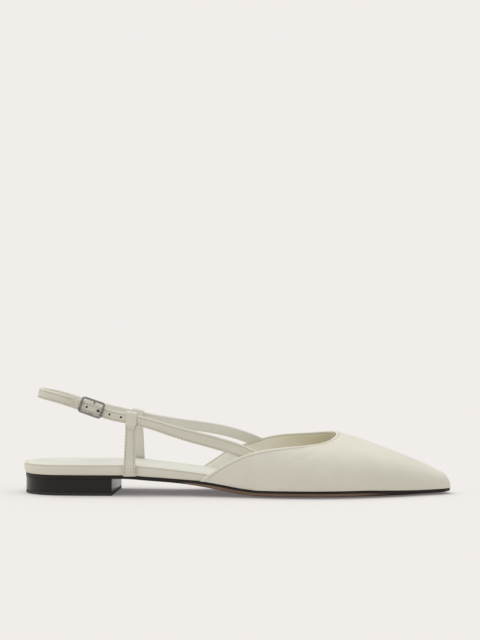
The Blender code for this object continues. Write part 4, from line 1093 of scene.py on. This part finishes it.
# Soft creases of the upper: station, side (-1 outer, 1 inner), angle from the sole as a share of the way to
# the ridge, length along the shoe, width, depth, slant
CREASES = (
    (0.655, -1, 0.30, 0.026, 0.0030, 0.00022, 0.5),
    (0.700, -1, 0.46, 0.030, 0.0034, 0.00020, 0.7),
    (0.690, 1, 0.42, 0.030, 0.0034, 0.00020, -0.6),
    (0.745, -1, 0.72, 0.022, 0.0028, 0.00016, 0.4),
    (0.770, 1, 0.66, 0.024, 0.0030, 0.00016, -0.4),
    (0.560, -1, 0.34, 0.018, 0.0030, 0.00018, -0.5),
    (0.560, 1, 0.36, 0.018, 0.0030, 0.00016, 0.5),
    (0.905, -1, 0.45, 0.014, 0.0020, 0.00010, 0.3),
)
CREASE_SHARE = 0.45     # of those depths, on new leather


def relief(x, angle):
    """Height of the leather over the last: slow waves from lasting, small pleats drawn in over the sole's
    edge at the toe, and the listed creases, each a bell across its line with a ridge beside it."""
    s = x / LENGTH
    share = np.minimum(angle, np.pi - angle) / (np.pi / 2)
    side = np.where(angle < np.pi / 2, -1.0, 1.0)
    waves = WAVE_DEPTH * np.sin(s * 55 + share * 4 + side) * np.sin(share * 5 + s * 18)
    pleats = PLEAT_DEPTH * np.sin(s * 900 + side * 2) * hump(share - 0.02, 0.09)
    pleats = pleats * ease((s - 0.72) / 0.12)
    total = waves * ease((1 - s) / 0.1) + pleats
    point = upper_point(x, angle)
    for at, where, up, length, width, depth, slant in CREASES:
        centre_angle = up * np.pi / 2 if where < 0 else np.pi - up * np.pi / 2
        centre = upper_point(np.array(at * LENGTH), np.array(centre_angle))
        line = unit(np.array([1.0, 0.0, slant]))
        away = point - centre
        along = away @ line
        across = away - along[..., None] * line
        signed = across[..., 2] - across[..., 1] * 0.4 * where
        fade = hump(along, length / 2) * (side == where)
        total = total - depth * CREASE_SHARE * hump(signed, width / 2) * fade
        total = total + depth * CREASE_SHARE * 0.7 * hump(signed - width * 0.85, width / 2) * fade
    return total


UPPER_COLUMNS = 260
UPPER_ROWS = 150


def upper_lines():
    """Stations and angles of the upper's grid. The first rows follow its edge at fixed distances, the rest
    run on at constant angle to the toe with the rows crowding towards it as a sine."""
    edge = topline(UPPER_COLUMNS + 1)
    near = (0.0008, 0.0011, 0.0014, 0.0017, EDGE_BAND, 0.0021, 0.0024, 0.0028, 0.0034)
    rows = [inset_edge(*edge, distance) for distance in near]
    x0, angle0 = rows[-1]
    spread = np.sin(np.linspace(0, 1, UPPER_ROWS + 1)[1:] * np.pi / 2)
    x = x0[None] + (LENGTH - TIP_CLEAR - x0[None]) * spread[:, None]
    angle = np.broadcast_to(angle0, x.shape)
    x = np.concatenate([np.stack([r[0] for r in rows]), x])
    angle = np.concatenate([np.stack([r[1] for r in rows]), angle])
    depth = np.concatenate([near, np.full(UPPER_ROWS, 0.01)])
    return x, angle, depth, edge


def facing_of(x, angle):
    """Direction out of the upper, level in the first and last columns, which end on the sole."""
    out = slopes(x, angle)[2]
    out[..., [0, -1], 2] = 0
    return unit(out)


def turned(point, out, into, radius):
    """Half round from the outside of a wall to its inside: a circle in the plane of out and into."""
    centre = point + into * radius - out * radius
    turns = np.linspace(0, np.pi, 7)[1:-1]
    return [centre + (out * math.cos(t) - into * math.sin(t)) * radius for t in turns]


def make_upper():
    """The upper's leather: its outside with relief, edge band and seam groove, turned over the edge and back
    down 4 mm inside, where the lining covers its cut end."""
    x, angle, depth, edge = upper_lines()
    outside = upper_point(x, angle)
    out = facing_of(x, angle)
    height = relief(x, angle) * ease((depth[:, None] - 0.002) / 0.002)
    height = height + BAND_PUFF * hump(depth[:, None] - EDGE_BAND * 0.5, EDGE_BAND * 0.42)
    height = height - UPPER_SEAM * hump(depth[:, None] - EDGE_BAND, SEAM_HALF)
    skin = outside + out * height[..., None]
    under = outside - out * SHELL
    edge_point = upper_point(*edge)
    into = unit(outside[0] - edge_point)
    roll = turned(edge_point, facing_of(*edge), into, WALL / 2)
    back = [outside[k] - out[k] * WALL for k in (0, 4, 8)]
    back.append(outside[9] - out[9] * (WALL - 0.0002))
    grid = np.stack([*skin[::-1], *roll, *back, *under[10:]])
    blocks = [(grid, folded_faces(*grid.shape[:2]))]
    piece("upper", blocks, CALF, 60, "vamp")


def make_lining():
    """Lining of the upper: a thin closed shell on the inside of its wall, from under the turned edge to the
    toe."""
    x, angle = upper_lines()[:2]
    keep = np.r_[2:9, 10 : len(x) : 2]
    x, angle = x[keep], angle[keep]
    outside = upper_point(x, angle)
    out = facing_of(x, angle)
    sunk = LINING_THICK * 0.1
    upper_face = outside - out * (WALL - sunk)
    lower_face = outside - out * (WALL - sunk + LINING_THICK)
    upper_face[0] = (upper_face[0] + lower_face[0]) / 2 + out[0] * LINING_THICK * 0.2
    lower_face[0] += out[0] * LINING_THICK * 0.4
    grid = np.stack([*upper_face[::-1], *lower_face])
    blocks = [(grid, folded_faces(*grid.shape[:2]))]
    piece("upper_lining", blocks, LINING, 60, None)


def make_upper_stitches():
    """One row of stitches along the whole edge of the upper, an edge band's width from it."""
    x, angle = inset_edge(*topline(1200), EDGE_BAND)
    keep = (angle > 0.02) & (angle < np.pi - 0.02)
    x, angle = x[keep], angle[keep]
    out = slopes(x, angle)[2]
    line = upper_point(x, angle) - out * UPPER_SEAM * 0.45
    sew("upper", [(line, out)])


def make_sole(ring):
    """Sole: a fair round at the top of its upright face, then the bevel, then the tread. The bare attribute
    is 1 on the tan leather of bevel and tread, less at the bevel's foot, where its darker colour is painted
    contact shade, and 0 on the inked edge."""
    x = ring[:, 0]
    carries_upper = ease((x / LENGTH - 0.36) / 0.10)
    edge = grown(ring, carries_upper * (GAP + WALL) - SOLE_INSET)
    bottom = underside(x) + curl(x)
    top = bottom + substance(x)
    bevel_top = top - SOLE_FACE
    reach_in = BEVEL_INSET * crown_share_at(x / LENGTH)
    bevel = []
    for t in np.linspace(0, 1, 9)[:-1]:
        run_in = reach_in * (1 - t) ** 1.4
        bevel.append(raised(grown(edge, -run_in - 0.00005), bottom + (bevel_top - bottom) * t**1.15))
    face = [raised(grown(edge, -0.00003), bevel_top), raised(edge, top - SOLE_FACE * 0.6)]
    face += rounded_rings(edge, top, SOLE_ROUND, (0, 30, 60, 88))

    def tread(at, share):
        return underside(at) + curl(at) * np.clip((share - 0.55) / 0.45, 0, 1) ** 2

    def dish(at, share):
        return feather(at) - curl(at) * (1 - share**2)

    rings = [*bevel, *face]
    blocks = plate_blocks(rings, tread, dish)
    shown = ease((x / LENGTH - 0.35) / 0.07) * (1 - ease((x / LENGTH - 0.706) / 0.24))
    # the low levels at the bevel's foot darken it towards ink: painted contact shade
    levels = np.array([0.45, 0.50, 0.62, 0.90] + [1.0] * (len(bevel) - 5) + [0.55] + [0.0] * len(face))
    tread_bare = np.ones(blocks[1][0].shape[:2])
    tread_bare[:, 0] = tread_bare[:, -1] = shown[: len(tread_bare)]
    tread_bare[[0, -1]] = 0
    side_bare_and_shade = levels[:, None] * shown[None, :]
    hidden_bare = np.zeros(blocks[2][0].shape[:2])
    bare = np.concatenate([side_bare_and_shade.ravel(), tread_bare.ravel(), hidden_bare.ravel()])
    piece("sole", blocks, SOLE_LEATHER, 50, "outsole", {"bare": bare})


def make_rim(ring):
    """Footbed: wrapped side and rolled edge, a seam line at the foot of the roll, and the tray."""
    x = ring[:, 0]
    foot, top, roll, out = feather(x) + GAP, rim_top(x), roll_radius(x), flare(x)
    rings = [raised(grown(ring, -inset), foot + height) for inset, height in RIM_FOOT]
    high = roll * ROLL_SQUASH
    groove_in = roll * (1 - math.cos(ROLL_UNDERCUT))
    groove = top - high * (1 - math.sin(ROLL_UNDERCUT)) - foot
    for t in np.linspace(0.15, 1, 10):
        swell = RIM_SWELL * math.sin(math.pi * t)
        drawn = groove_in * ease((t - 0.80) / 0.20)
        rings.append(raised(grown(ring, out * t + swell - drawn), foot + groove * t))
    for turn in np.linspace(ROLL_UNDERCUT + 0.2, math.radians(185), 18):
        by = out - roll * (1 - math.cos(turn))
        rings.append(raised(grown(ring, by), top - high * (1 - math.sin(turn))))
    tray = grown(ring, out - 2 * roll - 0.0001)
    rings.append(raised(tray, tray_floor(tray[:, 0])))

    def bottom(at, share):
        return feather(at) - curl(at) * (1 - share**2) + GAP

    def floor(at, share):
        return tray_floor(at) + 0 * share

    blocks = plate_blocks(rings, bottom, floor, 12)
    piece("footbed_rim", blocks, CALF, 60, "insole_board")


def make_sock(ring):
    """Sock: soft rounded edge inside the rolled rim, crowned across, with a slow hollow under the heel."""
    x = ring[:, 0]
    edge = grown(ring, flare(x) - 2 * roll_radius(x) - 0.0001 - GAP * 0.4)
    low = tray_floor(edge[:, 0]) + GAP * 0.5
    high = rim_top(x) - SOCK_SINK
    fall = np.minimum(SOCK_ROUND, (high - low) * 0.8)
    rings = [raised(grown(edge, -0.0001), low), *rounded_rings(edge, high, fall, (0, 25, 50, 75, 89))]

    def bottom(at, share):
        return tray_floor(at) + GAP * 0.5 + 0 * share

    def pad(at, share):
        crown = SOCK_CROWN * (1 - share**2)
        hollow = SOCK_HOLLOW * hump(at / LENGTH - 0.11, 0.07) * (1 - share**2)
        wave = SOCK_WAVE * np.sin(at * 160 + share * 3) * (1 - share)
        return rim_top(at) - SOCK_SINK + crown - hollow + wave

    sock = piece("sock", plate_blocks(rings, bottom, pad, 40), SOCK, 60, "sock_lining")


def heel_ring(ring):
    """Heel outline: the footbed's behind the breast, closed straight across with small rounded corners."""
    half = len(ring) // 2
    edge = grown(ring, -HEEL_INSET)
    limit = HEEL_LENGTH - HEEL_CORNER
    outer = edge[: half + 1][edge[: half + 1, 0] < limit - 0.0003]
    inner = edge[half:][edge[half:, 0] < limit - 0.0003]
    at_breast = footbed_half(limit) - HEEL_INSET
    turn = np.linspace(0, np.pi / 2, 6)
    bend_x = limit + HEEL_CORNER * np.sin(turn)
    bend_y = at_breast - HEEL_CORNER * (1 - np.cos(turn))
    low = np.stack([bend_x, middle(limit) - bend_y], axis=1)
    high = np.stack([bend_x, middle(limit) + bend_y], axis=1)[::-1]
    return np.concatenate([outer, low, high, inner])


def make_heel(name, low, high, ring, material, node, fall, waist):
    """A slab of the heel: its edges are quarter rounds, and its side is hollowed a little half way up."""
    turns = np.radians((88, 60, 30, 0))
    edge = [(fall * (1 - math.cos(turn)), fall * (1 - math.sin(turn))) for turn in turns]
    side = [(waist * math.sin(math.pi * t), fall + (high - low - 2 * fall) * t) for t in np.linspace(0, 1, 7)]
    levels = [(by, low + z) for by, z in edge + side[1:-1]] + [(by, high - z) for by, z in edge[::-1]]
    rings = np.stack([raised(grown(ring, -by), z) for by, z in levels])
    count = rings.shape[1]
    end = np.arange(count)
    top = end + (len(rings) - 1) * count
    faces = [quads(len(rings), count, wrap=True)[:, ::-1], [end[::-1].tolist()], [top.tolist()]]
    piece(name, [(rings, faces)], material, 35, node)


def punched(strap, cutters):
    """Take the cutters out of a strap, and keep it as plain mesh."""
    for cutter in cutters:
        step = strap.modifiers.new(cutter.name, "BOOLEAN")
        step.operation, step.object, step.solver = "DIFFERENCE", cutter, "EXACT"
    ready = bpy.data.meshes.new_from_object(strap.evaluated_get(bpy.context.evaluated_depsgraph_get()))
    strap.modifiers.clear()
    strap.data = ready
    for cutter in cutters:
        bpy.data.objects.remove(cutter)
    ready.shade_smooth()
    ready.set_sharp_from_angle(angle=math.radians(40))


def cutter_object(name, points, faces):
    """A plain closed form for a boolean step, removed when the step is done."""
    mesh = bpy.data.meshes.new(name)
    mesh.from_pydata((points - ORIGIN).tolist(), [], [list(map(int, f)) for f in faces])
    return linked(name, mesh)


def hole_cutter(sling, run, level, radius, name):
    """A round punch through the strap: a prism along its facing."""
    place, along, across, out = sling.frame(run)
    turn = full_turn(PUNCH_SIDES)
    circle = along * np.cos(turn)[:, None] + across * np.sin(turn)[:, None]
    base = place + out * level
    points = np.concatenate([base + circle * radius + out * end * PUNCH_LENGTH / 2 for end in (-1, 1)])
    low = np.arange(PUNCH_SIDES)
    high = low + PUNCH_SIDES
    sides = np.stack([low, np.roll(low, -1), np.roll(high, -1), high], axis=1)
    handed = np.dot(np.cross(along, across), out) > 0
    faces = [*sides, low[::-1], high] if handed else [*sides[:, ::-1], low, high[::-1]]
    return cutter_object(name, points, faces)


def hole_shade_cup(sling, run, level, radius, depth):
    """Cup of bare cut leather, dark with painted shade, in a punched hole: a wall over the punch's own, and
    a floor at the back that stands for the shade behind the strap.
    """
    place, along, across, out = sling.frame(run)
    turn = full_turn(PUNCH_SIDES)
    circle = along * np.cos(turn)[:, None] + across * np.sin(turn)[:, None]
    wide = radius + CUP_WALL * 0.3
    narrow = wide - CUP_WALL
    brim = depth - CUP_WALL * 1.2
    profile = ((wide, -depth), (wide, brim), (narrow, brim), (narrow, CUP_WALL - depth))
    rings = np.stack([place + circle * r + out * (level + z) for r, z in profile])
    return tube_blocks(rings)


def seam_line(sling, run, width, inset, thick, level):
    """A row of stitches on a strap's face: inset > 0 from its top edge, < 0 from its bottom edge."""
    place, _, across, out = sling.frame(run)
    y = width / 2 - inset if inset > 0 else -(width / 2 + inset)
    return place + across * y[:, None] + out * (level + thick / 2 - SEAM_DEPTH * 0.5)[:, None], out


def make_strap_outer(sling):
    """Outer strap: from inside the upper through its loop and the buckle to its rounded, punched tip."""
    tip = sling.buckle + TIP_LENGTH
    rounding = tip - TIP_RUN * (1 - np.sin(np.linspace(0, 1, 16)[1:] * np.pi / 2))
    run = np.concatenate([np.linspace(0, tip - TIP_RUN, 150), rounding])
    inside = np.where(run > sling.buckle, 1.0, buckled(sling, run, FRAME_LENGTH / 2))
    place, _, across, out = sling.frame(run)
    width = sling.width(run) * np.maximum(round_end(tip - run, SLING_WIDTH / 2), 0.04)
    thick = sling.thickness(run) * (1 - inside) + TONGUE_THICKNESS * inside
    thick = thick * (0.6 + 0.4 * round_end(tip - run, 0.0008))
    ahead = (sling.loop[-1] - run) / (sling.loop[-1] - sling.edge[-1])
    spread = LOW_SPREAD * ease((ahead - 0.15) / 0.45) * ease(run / sling.edge[-1] * 1.25 - 0.25)
    centres = place + out * (TONGUE_LEVEL * inside)[:, None] - across * spread[:, None] / 2
    rings = strap_rings(centres, across, out, width + spread, thick, (TOP_SEAM, -LOW_SEAM))
    strap = piece(
        "strap_outer", tube_blocks(rings[::-1]), STRAP_CALF, 60, "sling_lateral",
        lined_marks(rings, -1),
    )
    # each punched hole gets a dark cup of painted shade
    cutters, shade_cups = [], []
    for number in range(-1, 3):
        at = sling.buckle - PRONG_HOLE - number * HOLE_PITCH
        radius = HOLE_RADIUS if number else PRONG_HOLE_RADIUS
        level = TONGUE_LEVEL * float(buckled(sling, at, FRAME_LENGTH / 2))
        cutters.append(hole_cutter(sling, at, level, radius, f"punch_{number + 1}"))
        shade_cups += hole_shade_cup(sling, at, level, radius, float(np.interp(at, run, thick)) / 2)
    punched(strap, cutters)
    piece("punched_hole_shades", shade_cups, HOLE_SHADE, 40, None, face_out=True)
    sewn = run < tip - 0.003
    rows = [
        seam_line(sling, run[sewn], reach[sewn], inset, thick[sewn], TONGUE_LEVEL * inside[sewn])
        for inset, reach in ((TOP_SEAM, width), (-LOW_SEAM, width + 2 * spread))
    ]
    sew("strap_outer", rows)


def make_strap_inner(sling):
    """Inner strap: from just inside the upper through its loop, round the heel, and back on itself round the
    buckle's bar. Its front end is sheared along itself in step with y, to lie along the upper's edge."""
    fold = LEAF_THICKNESS / 2 + GAP + BAR_RADIUS
    front = sling.edge[1] + TUCK
    run = np.linspace(front, sling.buckle + 0.002, 260)
    inside = buckled(sling, run, TIP_LENGTH + GAP)
    place, along, across, out = sling.frame(run)
    width = sling.width(run)
    thick = sling.thickness(run) * (1 - inside) + LEAF_THICKNESS * inside
    centres = place + out * (LEAF_LEVEL * inside)[:, None]
    bar, bar_along, bar_across, bar_out = sling.frame(sling.buckle)
    turns = np.radians(np.linspace(0, 180, 15))
    bend_out = -np.sin(turns)[:, None] * bar_along + np.cos(turns)[:, None] * bar_out
    bend = bar + bar_out * BAR_LEVEL + bend_out * fold
    back_run = np.linspace(0.0015, FOLD_LENGTH, 24)
    back_place, _, back_across, back_out = sling.frame(sling.buckle + back_run)
    beside = LEAF_LEVEL - LEAF_THICKNESS - GAP
    level = beside + (BAR_LEVEL - fold - beside) * (1 - ease((back_run - 0.001) / 0.006))
    back = back_place + back_out * level[:, None]
    tail = np.full(len(bend) + len(back), SLING_WIDTH)
    rings = strap_rings(
        np.concatenate([centres, bend, back]),
        -np.concatenate([across, np.repeat(bar_across[None], len(bend), 0), back_across]),
        np.concatenate([out, bend_out, -back_out]),
        np.concatenate([width, tail]),
        np.concatenate([thick, np.full(len(tail), LEAF_THICKNESS)]),
        (LOW_SEAM, -TOP_SEAM),
        (LOW_ROLL, TOP_ROLL),
    )
    away = rings - rings.mean(axis=1, keepdims=True)
    sheared = np.sum(away[: len(run)] * across[:, None], axis=-1)
    sheared = sheared * ease(1 - (front - run) / SHEAR_RUN)[:, None] * SHEAR
    rings[: len(run)] += along[:, None] * sheared[..., None]
    strap = piece(
        "strap_inner", tube_blocks(rings[::-1]), STRAP_CALF, 60, "sling_medial",
        lined_marks(rings, -1),
    )
    deep = 2 * (LEAF_THICKNESS + GAP + BAR_RADIUS) + SLIT_ROOM
    size = np.array([deep, SLIT_WIDTH, deep]) / 2
    corner = np.array([(a, b, c) for a in (-1, 1) for b in (-1, 1) for c in (-1, 1)]) * size
    corner = corner + (SLIT_SHIFT, 0, BAR_LEVEL)
    points = bar + corner[:, :1] * bar_along + corner[:, 1:2] * bar_across + corner[:, 2:] * bar_out
    faces = ((0, 1, 3, 2), (4, 6, 7, 5), (0, 4, 5, 1), (2, 3, 7, 6), (0, 2, 6, 4), (1, 5, 7, 3))
    if np.dot(np.cross(bar_along, bar_across), bar_out) < 0:
        faces = [face[::-1] for face in faces]
    punched(strap, [cutter_object("slit", points, faces)])
    sewn = (run > sling.buckle + TIP_LENGTH + 0.002) & (run < front - SHEAR_RUN / 3)
    order = np.argsort(run[sewn])
    run, width, thick, inside = (values[sewn][order] for values in (run, width, thick, inside))
    rows = [
        seam_line(sling, run, width, inset, thick, LEAF_LEVEL * inside) for inset in (TOP_SEAM, -LOW_SEAM)
    ]
    sew("strap_inner", rows)


def make_upright(side, sling, name, node):
    """Upright: one strip that runs up outside the rim, over the sling and back down inside itself. Its path
    is the upright's middle line plus an offset each way that opens round the sling like an ellipse."""
    loop, along, _, _ = sling.frame(sling.loop[side])
    x = loop[0]
    ahead = along * np.sign(along[0])
    lay = GAP + UPRIGHT_THICKNESS / 2
    edge = middle(x) + side * footbed_half(x)
    near = np.array([x - UPRIGHT_FOOT / 2, x + UPRIGHT_FOOT / 2])
    level = unit(np.append(np.diff([near, middle(near) + side * footbed_half(near)]).ravel(), 0.0))
    foot = np.array([x, edge + side * (lay + flare(x) * 0.3), feather(x) + GAP])
    rim = np.array([x, edge + side * (lay + flare(x) + RIM_CLEAR), rim_top(x) - RIM_ROLL])
    over = np.array([x, edge + side * (lay + flare(x) - OVER_RIM), rim_top(x) + OVER_RIM])
    rise = unit(loop - over)
    reach = SLING_WIDTH / 2 + GAP
    neck = loop - rise * (reach + LOOP_LEAF * 2.2)
    leaf = UPRIGHT_THICKNESS / 2 * 0.97
    above = reach + LOOP_SLACK
    knots = np.array([foot, rim, over, over + (neck - over) * 0.3, neck, loop, loop + rise * above])
    run = run_of(knots)
    line = smooth_curve(run, knots)
    total = run[-1]
    at = np.concatenate([np.linspace(0, run[4], 60), np.linspace(run[4], total - 0.0006, 40)[1:]])
    place = line(at)
    up = unit(np.gradient(place, axis=0))
    with_sling = ease((at - run[3]) / (run[5] - run[3]))[:, None]
    wide = unit(level * (1 - with_sling) + ahead * with_sling)
    facing = unit(np.cross(up, wide)) * side
    from_middle = (at - run[5]) / (above + 0.0003)
    ellipse = np.sqrt(np.clip(1 - from_middle**2 * 0.9, 0, 1))
    open_by = (STRAP_THICKNESS / 2 + LOOP_ROOM) * ease((at - run[4] + 0.003) / 0.0045)
    offset = leaf / 2 + open_by * np.where(from_middle > 0, ellipse, 1)
    spots = [0, run[2], run[4], total]
    width_at = smooth_curve(spots, [UPRIGHT_FOOT, UPRIGHT_FOOT * 0.94, UPRIGHT_WIDTH, UPRIGHT_WIDTH])
    turned_end = TURNED_THICK * hump(at - (run[5] - TURNED_END), TURNED_HALF)
    front = place + facing * (offset + turned_end)[:, None]
    back = place - facing * offset[:, None]
    top_turn = np.radians(np.linspace(0, 180, 9)[1:-1])
    top_up, top_face = up[-1], facing[-1]
    round_up = top_face * np.cos(top_turn)[:, None] + top_up * 0.7 * np.sin(top_turn)[:, None]
    top = place[-1] + round_up * offset[-1]
    centres = np.concatenate([front, top, back[::-1]])
    flared = LOOP_FLARE * ease((at - run[5] + TURNED_END) / FLARE_RUN)
    flares, widths, wides = (
        np.concatenate([values, np.repeat(values[-1:], len(top), 0), values[::-1]])
        for values in (flared, width_at(at) + flared, wide)
    )
    centres = centres + ahead * flares[:, None] / 2
    heading = unit(np.gradient(centres, axis=0))
    outs = unit(np.cross(heading, wides)) * side
    seams, edges = (SIDE_SEAM, -SIDE_SEAM), (UPRIGHT_ROLL, UPRIGHT_ROLL)
    rings = strap_rings(centres, -wides * side, outs, widths, leaf, seams, edges, 0.00005)
    marks = lined_marks(rings, 1)
    marks["lined"][: rings[: len(front), :, 0].size] = 0   # the outer half of the strip is not lined
    piece(name, tube_blocks(rings), STRAP_CALF, 60, node, marks, face_out=True)
    rows = []
    sewn = (at > 0.0012) & (at < run[5] - BAR_TACK - SQUARE_END)
    for y in (-1, 1):
        where = (width_at(at[sewn]) / 2 - SIDE_SEAM) * y
        raised_by = facing[sewn] * (leaf / 2 - SEAM_DEPTH * 0.45)
        rows.append((front[sewn] + wide[sewn] * where[:, None] + raised_by, facing[sewn]))
    sew(name, rows)
    neck_at = int(np.searchsorted(at, run[5] - BAR_TACK))
    bar = np.linspace(-1, 1, 9)[:, None] * wide[neck_at] * (UPRIGHT_WIDTH / 2 - SQUARE_END)
    bar = front[neck_at] + bar + facing[neck_at] * (leaf / 2 + 0.00007)
    sew(name + "_tack", [(bar, np.repeat(facing[neck_at][None], 9, 0))], 0.0015, 0.0008)


def wire_rings(points, radius, normal, sides=16):
    """A round wire: circles square to the path, turned by a fixed normal so that they never twist."""
    along = unit(np.gradient(points, axis=0))
    first = unit(normal - along * np.sum(along * normal, axis=1, keepdims=True))
    second = np.cross(along, first)
    turn = full_turn(sides)
    size = np.broadcast_to(radius, len(points))[:, None, None]
    circle = first[:, None] * np.cos(turn)[:, None] + second[:, None] * np.sin(turn)[:, None]
    return points[:, None] + circle * size


def make_frame(sling):
    """Buckle's frame: a rounded rectangle of wire, slightly flattened, with its centre bar on two lugs."""
    place, along, across, out = sling.frame(sling.buckle)
    half_l = (FRAME_LENGTH - FRAME_WIRE) / 2
    half_w = (FRAME_WIDTH - FRAME_WIRE) / 2
    bend = FRAME_CORNER - FRAME_WIRE / 2
    corner = np.radians(np.linspace(0, 90, 12) + np.array([[0], [90], [180], [270]]))
    x = np.array([[1], [-1], [-1], [1]]) * (half_l - bend) + np.cos(corner) * bend
    y = np.array([[1], [1], [-1], [-1]]) * (half_w - bend) + np.sin(corner) * bend
    path = along * x.reshape(-1, 1) + across * y.reshape(-1, 1)
    forward = unit(np.roll(path, -1, axis=0) - np.roll(path, 1, axis=0))
    side = np.cross(forward, out)
    turn = full_turn(24)
    section = side[:, None] * np.cos(turn)[:, None] * 1.02 + out * np.sin(turn)[:, None] * 0.95
    middle_up = place + across * FRAME_LIFT
    loop = middle_up + out * FRAME_LEVEL + path[:, None] + section * FRAME_WIRE / 2
    closed = np.concatenate([loop, loop[:1]])
    face = quads(len(closed), len(turn), wrap=True)
    handed = np.dot(np.cross(along, across), out) > 0
    blocks = [(closed, [face if handed else face[:, ::-1]])]
    bar = middle_up + out * BAR_LEVEL
    post = np.linspace(bar - across * half_w, bar + across * half_w, 8)
    blocks += tube_blocks(wire_rings(post, BAR_RADIUS, out)[::-1])
    oblong = [np.sign(wave) * np.abs(wave) ** 0.6 for wave in (np.cos(turn), np.sin(turn))]
    oblong = along * oblong[0][:, None] * LUG[0] / 2 + across * oblong[1][:, None] * LUG[1] / 2
    for sign in (-1, 1):
        foot = bar + across * sign * half_w - out * BAR_RADIUS
        rise = np.array([0, 0.1, 1.0])[:, None, None] * (FRAME_LEVEL - BAR_LEVEL + BAR_RADIUS)
        shrink = np.array([0.85, 1.0, 1.0])[:, None, None]
        blocks += tube_blocks(foot + oblong * shrink + out * rise)
    piece("buckle", blocks, STEEL, 40, "buckle_frame", face_out=True)


def make_prong(sling):
    """Prong: a wire that wraps the bar, goes up through its hole and rests on the front of the frame."""
    place, along, across, out = sling.frame(sling.buckle)
    ring = BAR_RADIUS + GAP + PRONG_WIRE / 2
    low = BAR_LEVEL + ring
    top = FRAME_LEVEL + FRAME_WIRE / 2 + GAP * 0.6 + PRONG_WIRE / 2
    wrap = np.radians(np.linspace(250, 0, 30))[:, None]
    around = out * (BAR_LEVEL + ring * np.cos(wrap)) + along * ring * np.sin(wrap)
    stem = np.array([(x, low + z) for x, z in STEM_LOW] + [(x, top + z) for x, z in STEM_TOP])
    stem = out * stem[:, 1:] - along * (PRONG_HOLE + stem[:, :1])
    points = place + np.concatenate([around, stem])
    run = run_of(points)
    fine = np.linspace(0, run[-1], 90)
    line = smooth_curve(run, points)(fine)
    radius = PRONG_WIRE / 2 * (1 - 0.35 * ease((fine - run[-1] + 0.002) / 0.002))
    rings = wire_rings(line, radius, across)
    piece("prong", tube_blocks(rings[::-1]), STEEL, 40, "buckle_prong")


FLOOR_TONE = (0.643, 0.615, 0.592)
FLOOR_GLOW = (0.123, 0.123, 0.125)   # light that fills the shadows on the floor
FLOOR_HALF = 20.0
BACKDROP = (0.879, 0.847, 0.823)
SKY_BASE = 0.58         # level of the surround, and what it gains upwards, behind the shoe and to the left
SKY_UP, SKY_BEHIND, SKY_LEFT = 0.44, 0.04, 0.08
WINDOW_POWER = 1.05
WINDOW_SPREAD = math.radians(50)
WINDOW_HEADING = (0.35, -0.30, -1.0)
VIEW_TURN = math.radians(3)
VIEW_DISTANCE = 1.1
VIEW_HEIGHT = 0.109
VIEW_CENTRE = 0.00245   # place along the shoe that the camera looks at
VIEW_LENS, VIEW_SENSOR = 97.9, 36.0     # in millimetres


def make_stage():
    """Plain pale floor, so wide that it runs into the backdrop's own tone."""
    corners = [(x * FLOOR_HALF, y * FLOOR_HALF, 0) for x, y in ((-1, -1), (1, -1), (1, 1), (-1, 1))]
    mesh = bpy.data.meshes.new("floor")
    mesh.from_pydata(corners, [], [(0, 1, 2, 3)])
    floor = linked("floor", mesh)
    made, _, shader = finish("pale_floor", Roughness=0.9, Specular_IOR_Level=0.0, Emission_Strength=1.0)
    shader.inputs["Base Color"].default_value = (*FLOOR_TONE, 1)
    shader.inputs["Emission Color"].default_value = (*FLOOR_GLOW, 1)
    mesh.materials.append(made)


def make_lights():
    """Wide soft light from above, behind and left: a gradient surround, and one lamp as broad as a window.
    Seen directly, the surround is the plain tone of the backdrop."""
    lamp = bpy.data.lights.new("window", "SUN")
    lamp.energy, lamp.angle = WINDOW_POWER, WINDOW_SPREAD
    linked("window", lamp).rotation_euler = Vector(WINDOW_HEADING).to_track_quat("-Z", "Y").to_euler()
    world = bpy.data.worlds.new("studio")
    bpy.context.scene.world = world
    world.use_nodes = True
    tree = world.node_tree
    facing = add(tree, "ShaderNodeSeparateXYZ", Vector=add(tree, "ShaderNodeTexCoord").outputs["Generated"])
    level = sums(tree, "MULTIPLY_ADD", sums(tree, "MAXIMUM", facing.outputs["Z"], 0.0), SKY_UP, SKY_BASE)
    level = sums(tree, "ADD", level, sums(tree, "MULTIPLY", facing.outputs["Y"], SKY_BEHIND))
    level = sums(tree, "SUBTRACT", level, sums(tree, "MULTIPLY", facing.outputs["X"], SKY_LEFT))
    seen = add(tree, "ShaderNodeLightPath").outputs["Is Camera Ray"]
    back = tree.nodes["Background"]
    tone = add(tree, "ShaderNodeCombineColor", Red=level, Green=level, Blue=level).outputs["Color"]
    tree.links.new(blend(tree, seen, tone, (*BACKDROP, 1)), back.inputs["Color"])
    back.inputs["Strength"].default_value = 1.0
    bpy.context.scene.view_settings.view_transform = "Standard"


def make_camera():
    """The photograph's view: level, turned 3 degrees towards the toe, 109 mm above the floor, 1.1 m away."""
    lens = bpy.data.cameras.new("camera")
    lens.lens, lens.sensor_width = VIEW_LENS, VIEW_SENSOR
    item = linked("camera", lens)
    away_x, away_y = VIEW_DISTANCE * math.sin(VIEW_TURN), VIEW_DISTANCE * math.cos(VIEW_TURN)
    item.location = (VIEW_CENTRE + away_x, -away_y, VIEW_HEIGHT)
    item.rotation_euler = (math.pi / 2, 0, VIEW_TURN)
    bpy.context.scene.camera = item


RING = footbed_ring(plan_stations(40, 150))
make_upper()
make_lining()
make_upper_stitches()
make_sole(RING)
make_rim(RING)
make_sock(RING)
HEEL = heel_ring(RING)
make_heel(
    "heel", TOP_LIFT + FLUSH, SEAT_HEIGHT - FLUSH, HEEL, LACQUER, "heel_block",
    fall=0.00012, waist=0.0001,
)
make_heel(
    "lift", 0.0, TOP_LIFT - FLUSH, HEEL, RUBBER, "top_lift", fall=0.00015, waist=0.0
)
SLING = Sling()
make_strap_outer(SLING)
make_strap_inner(SLING)
make_upright(-1, SLING, "upright_outer", "upright_lateral")
make_upright(1, SLING, "upright_inner", "upright_medial")
make_frame(SLING)
make_prong(SLING)
make_stage()
make_lights()
make_camera()
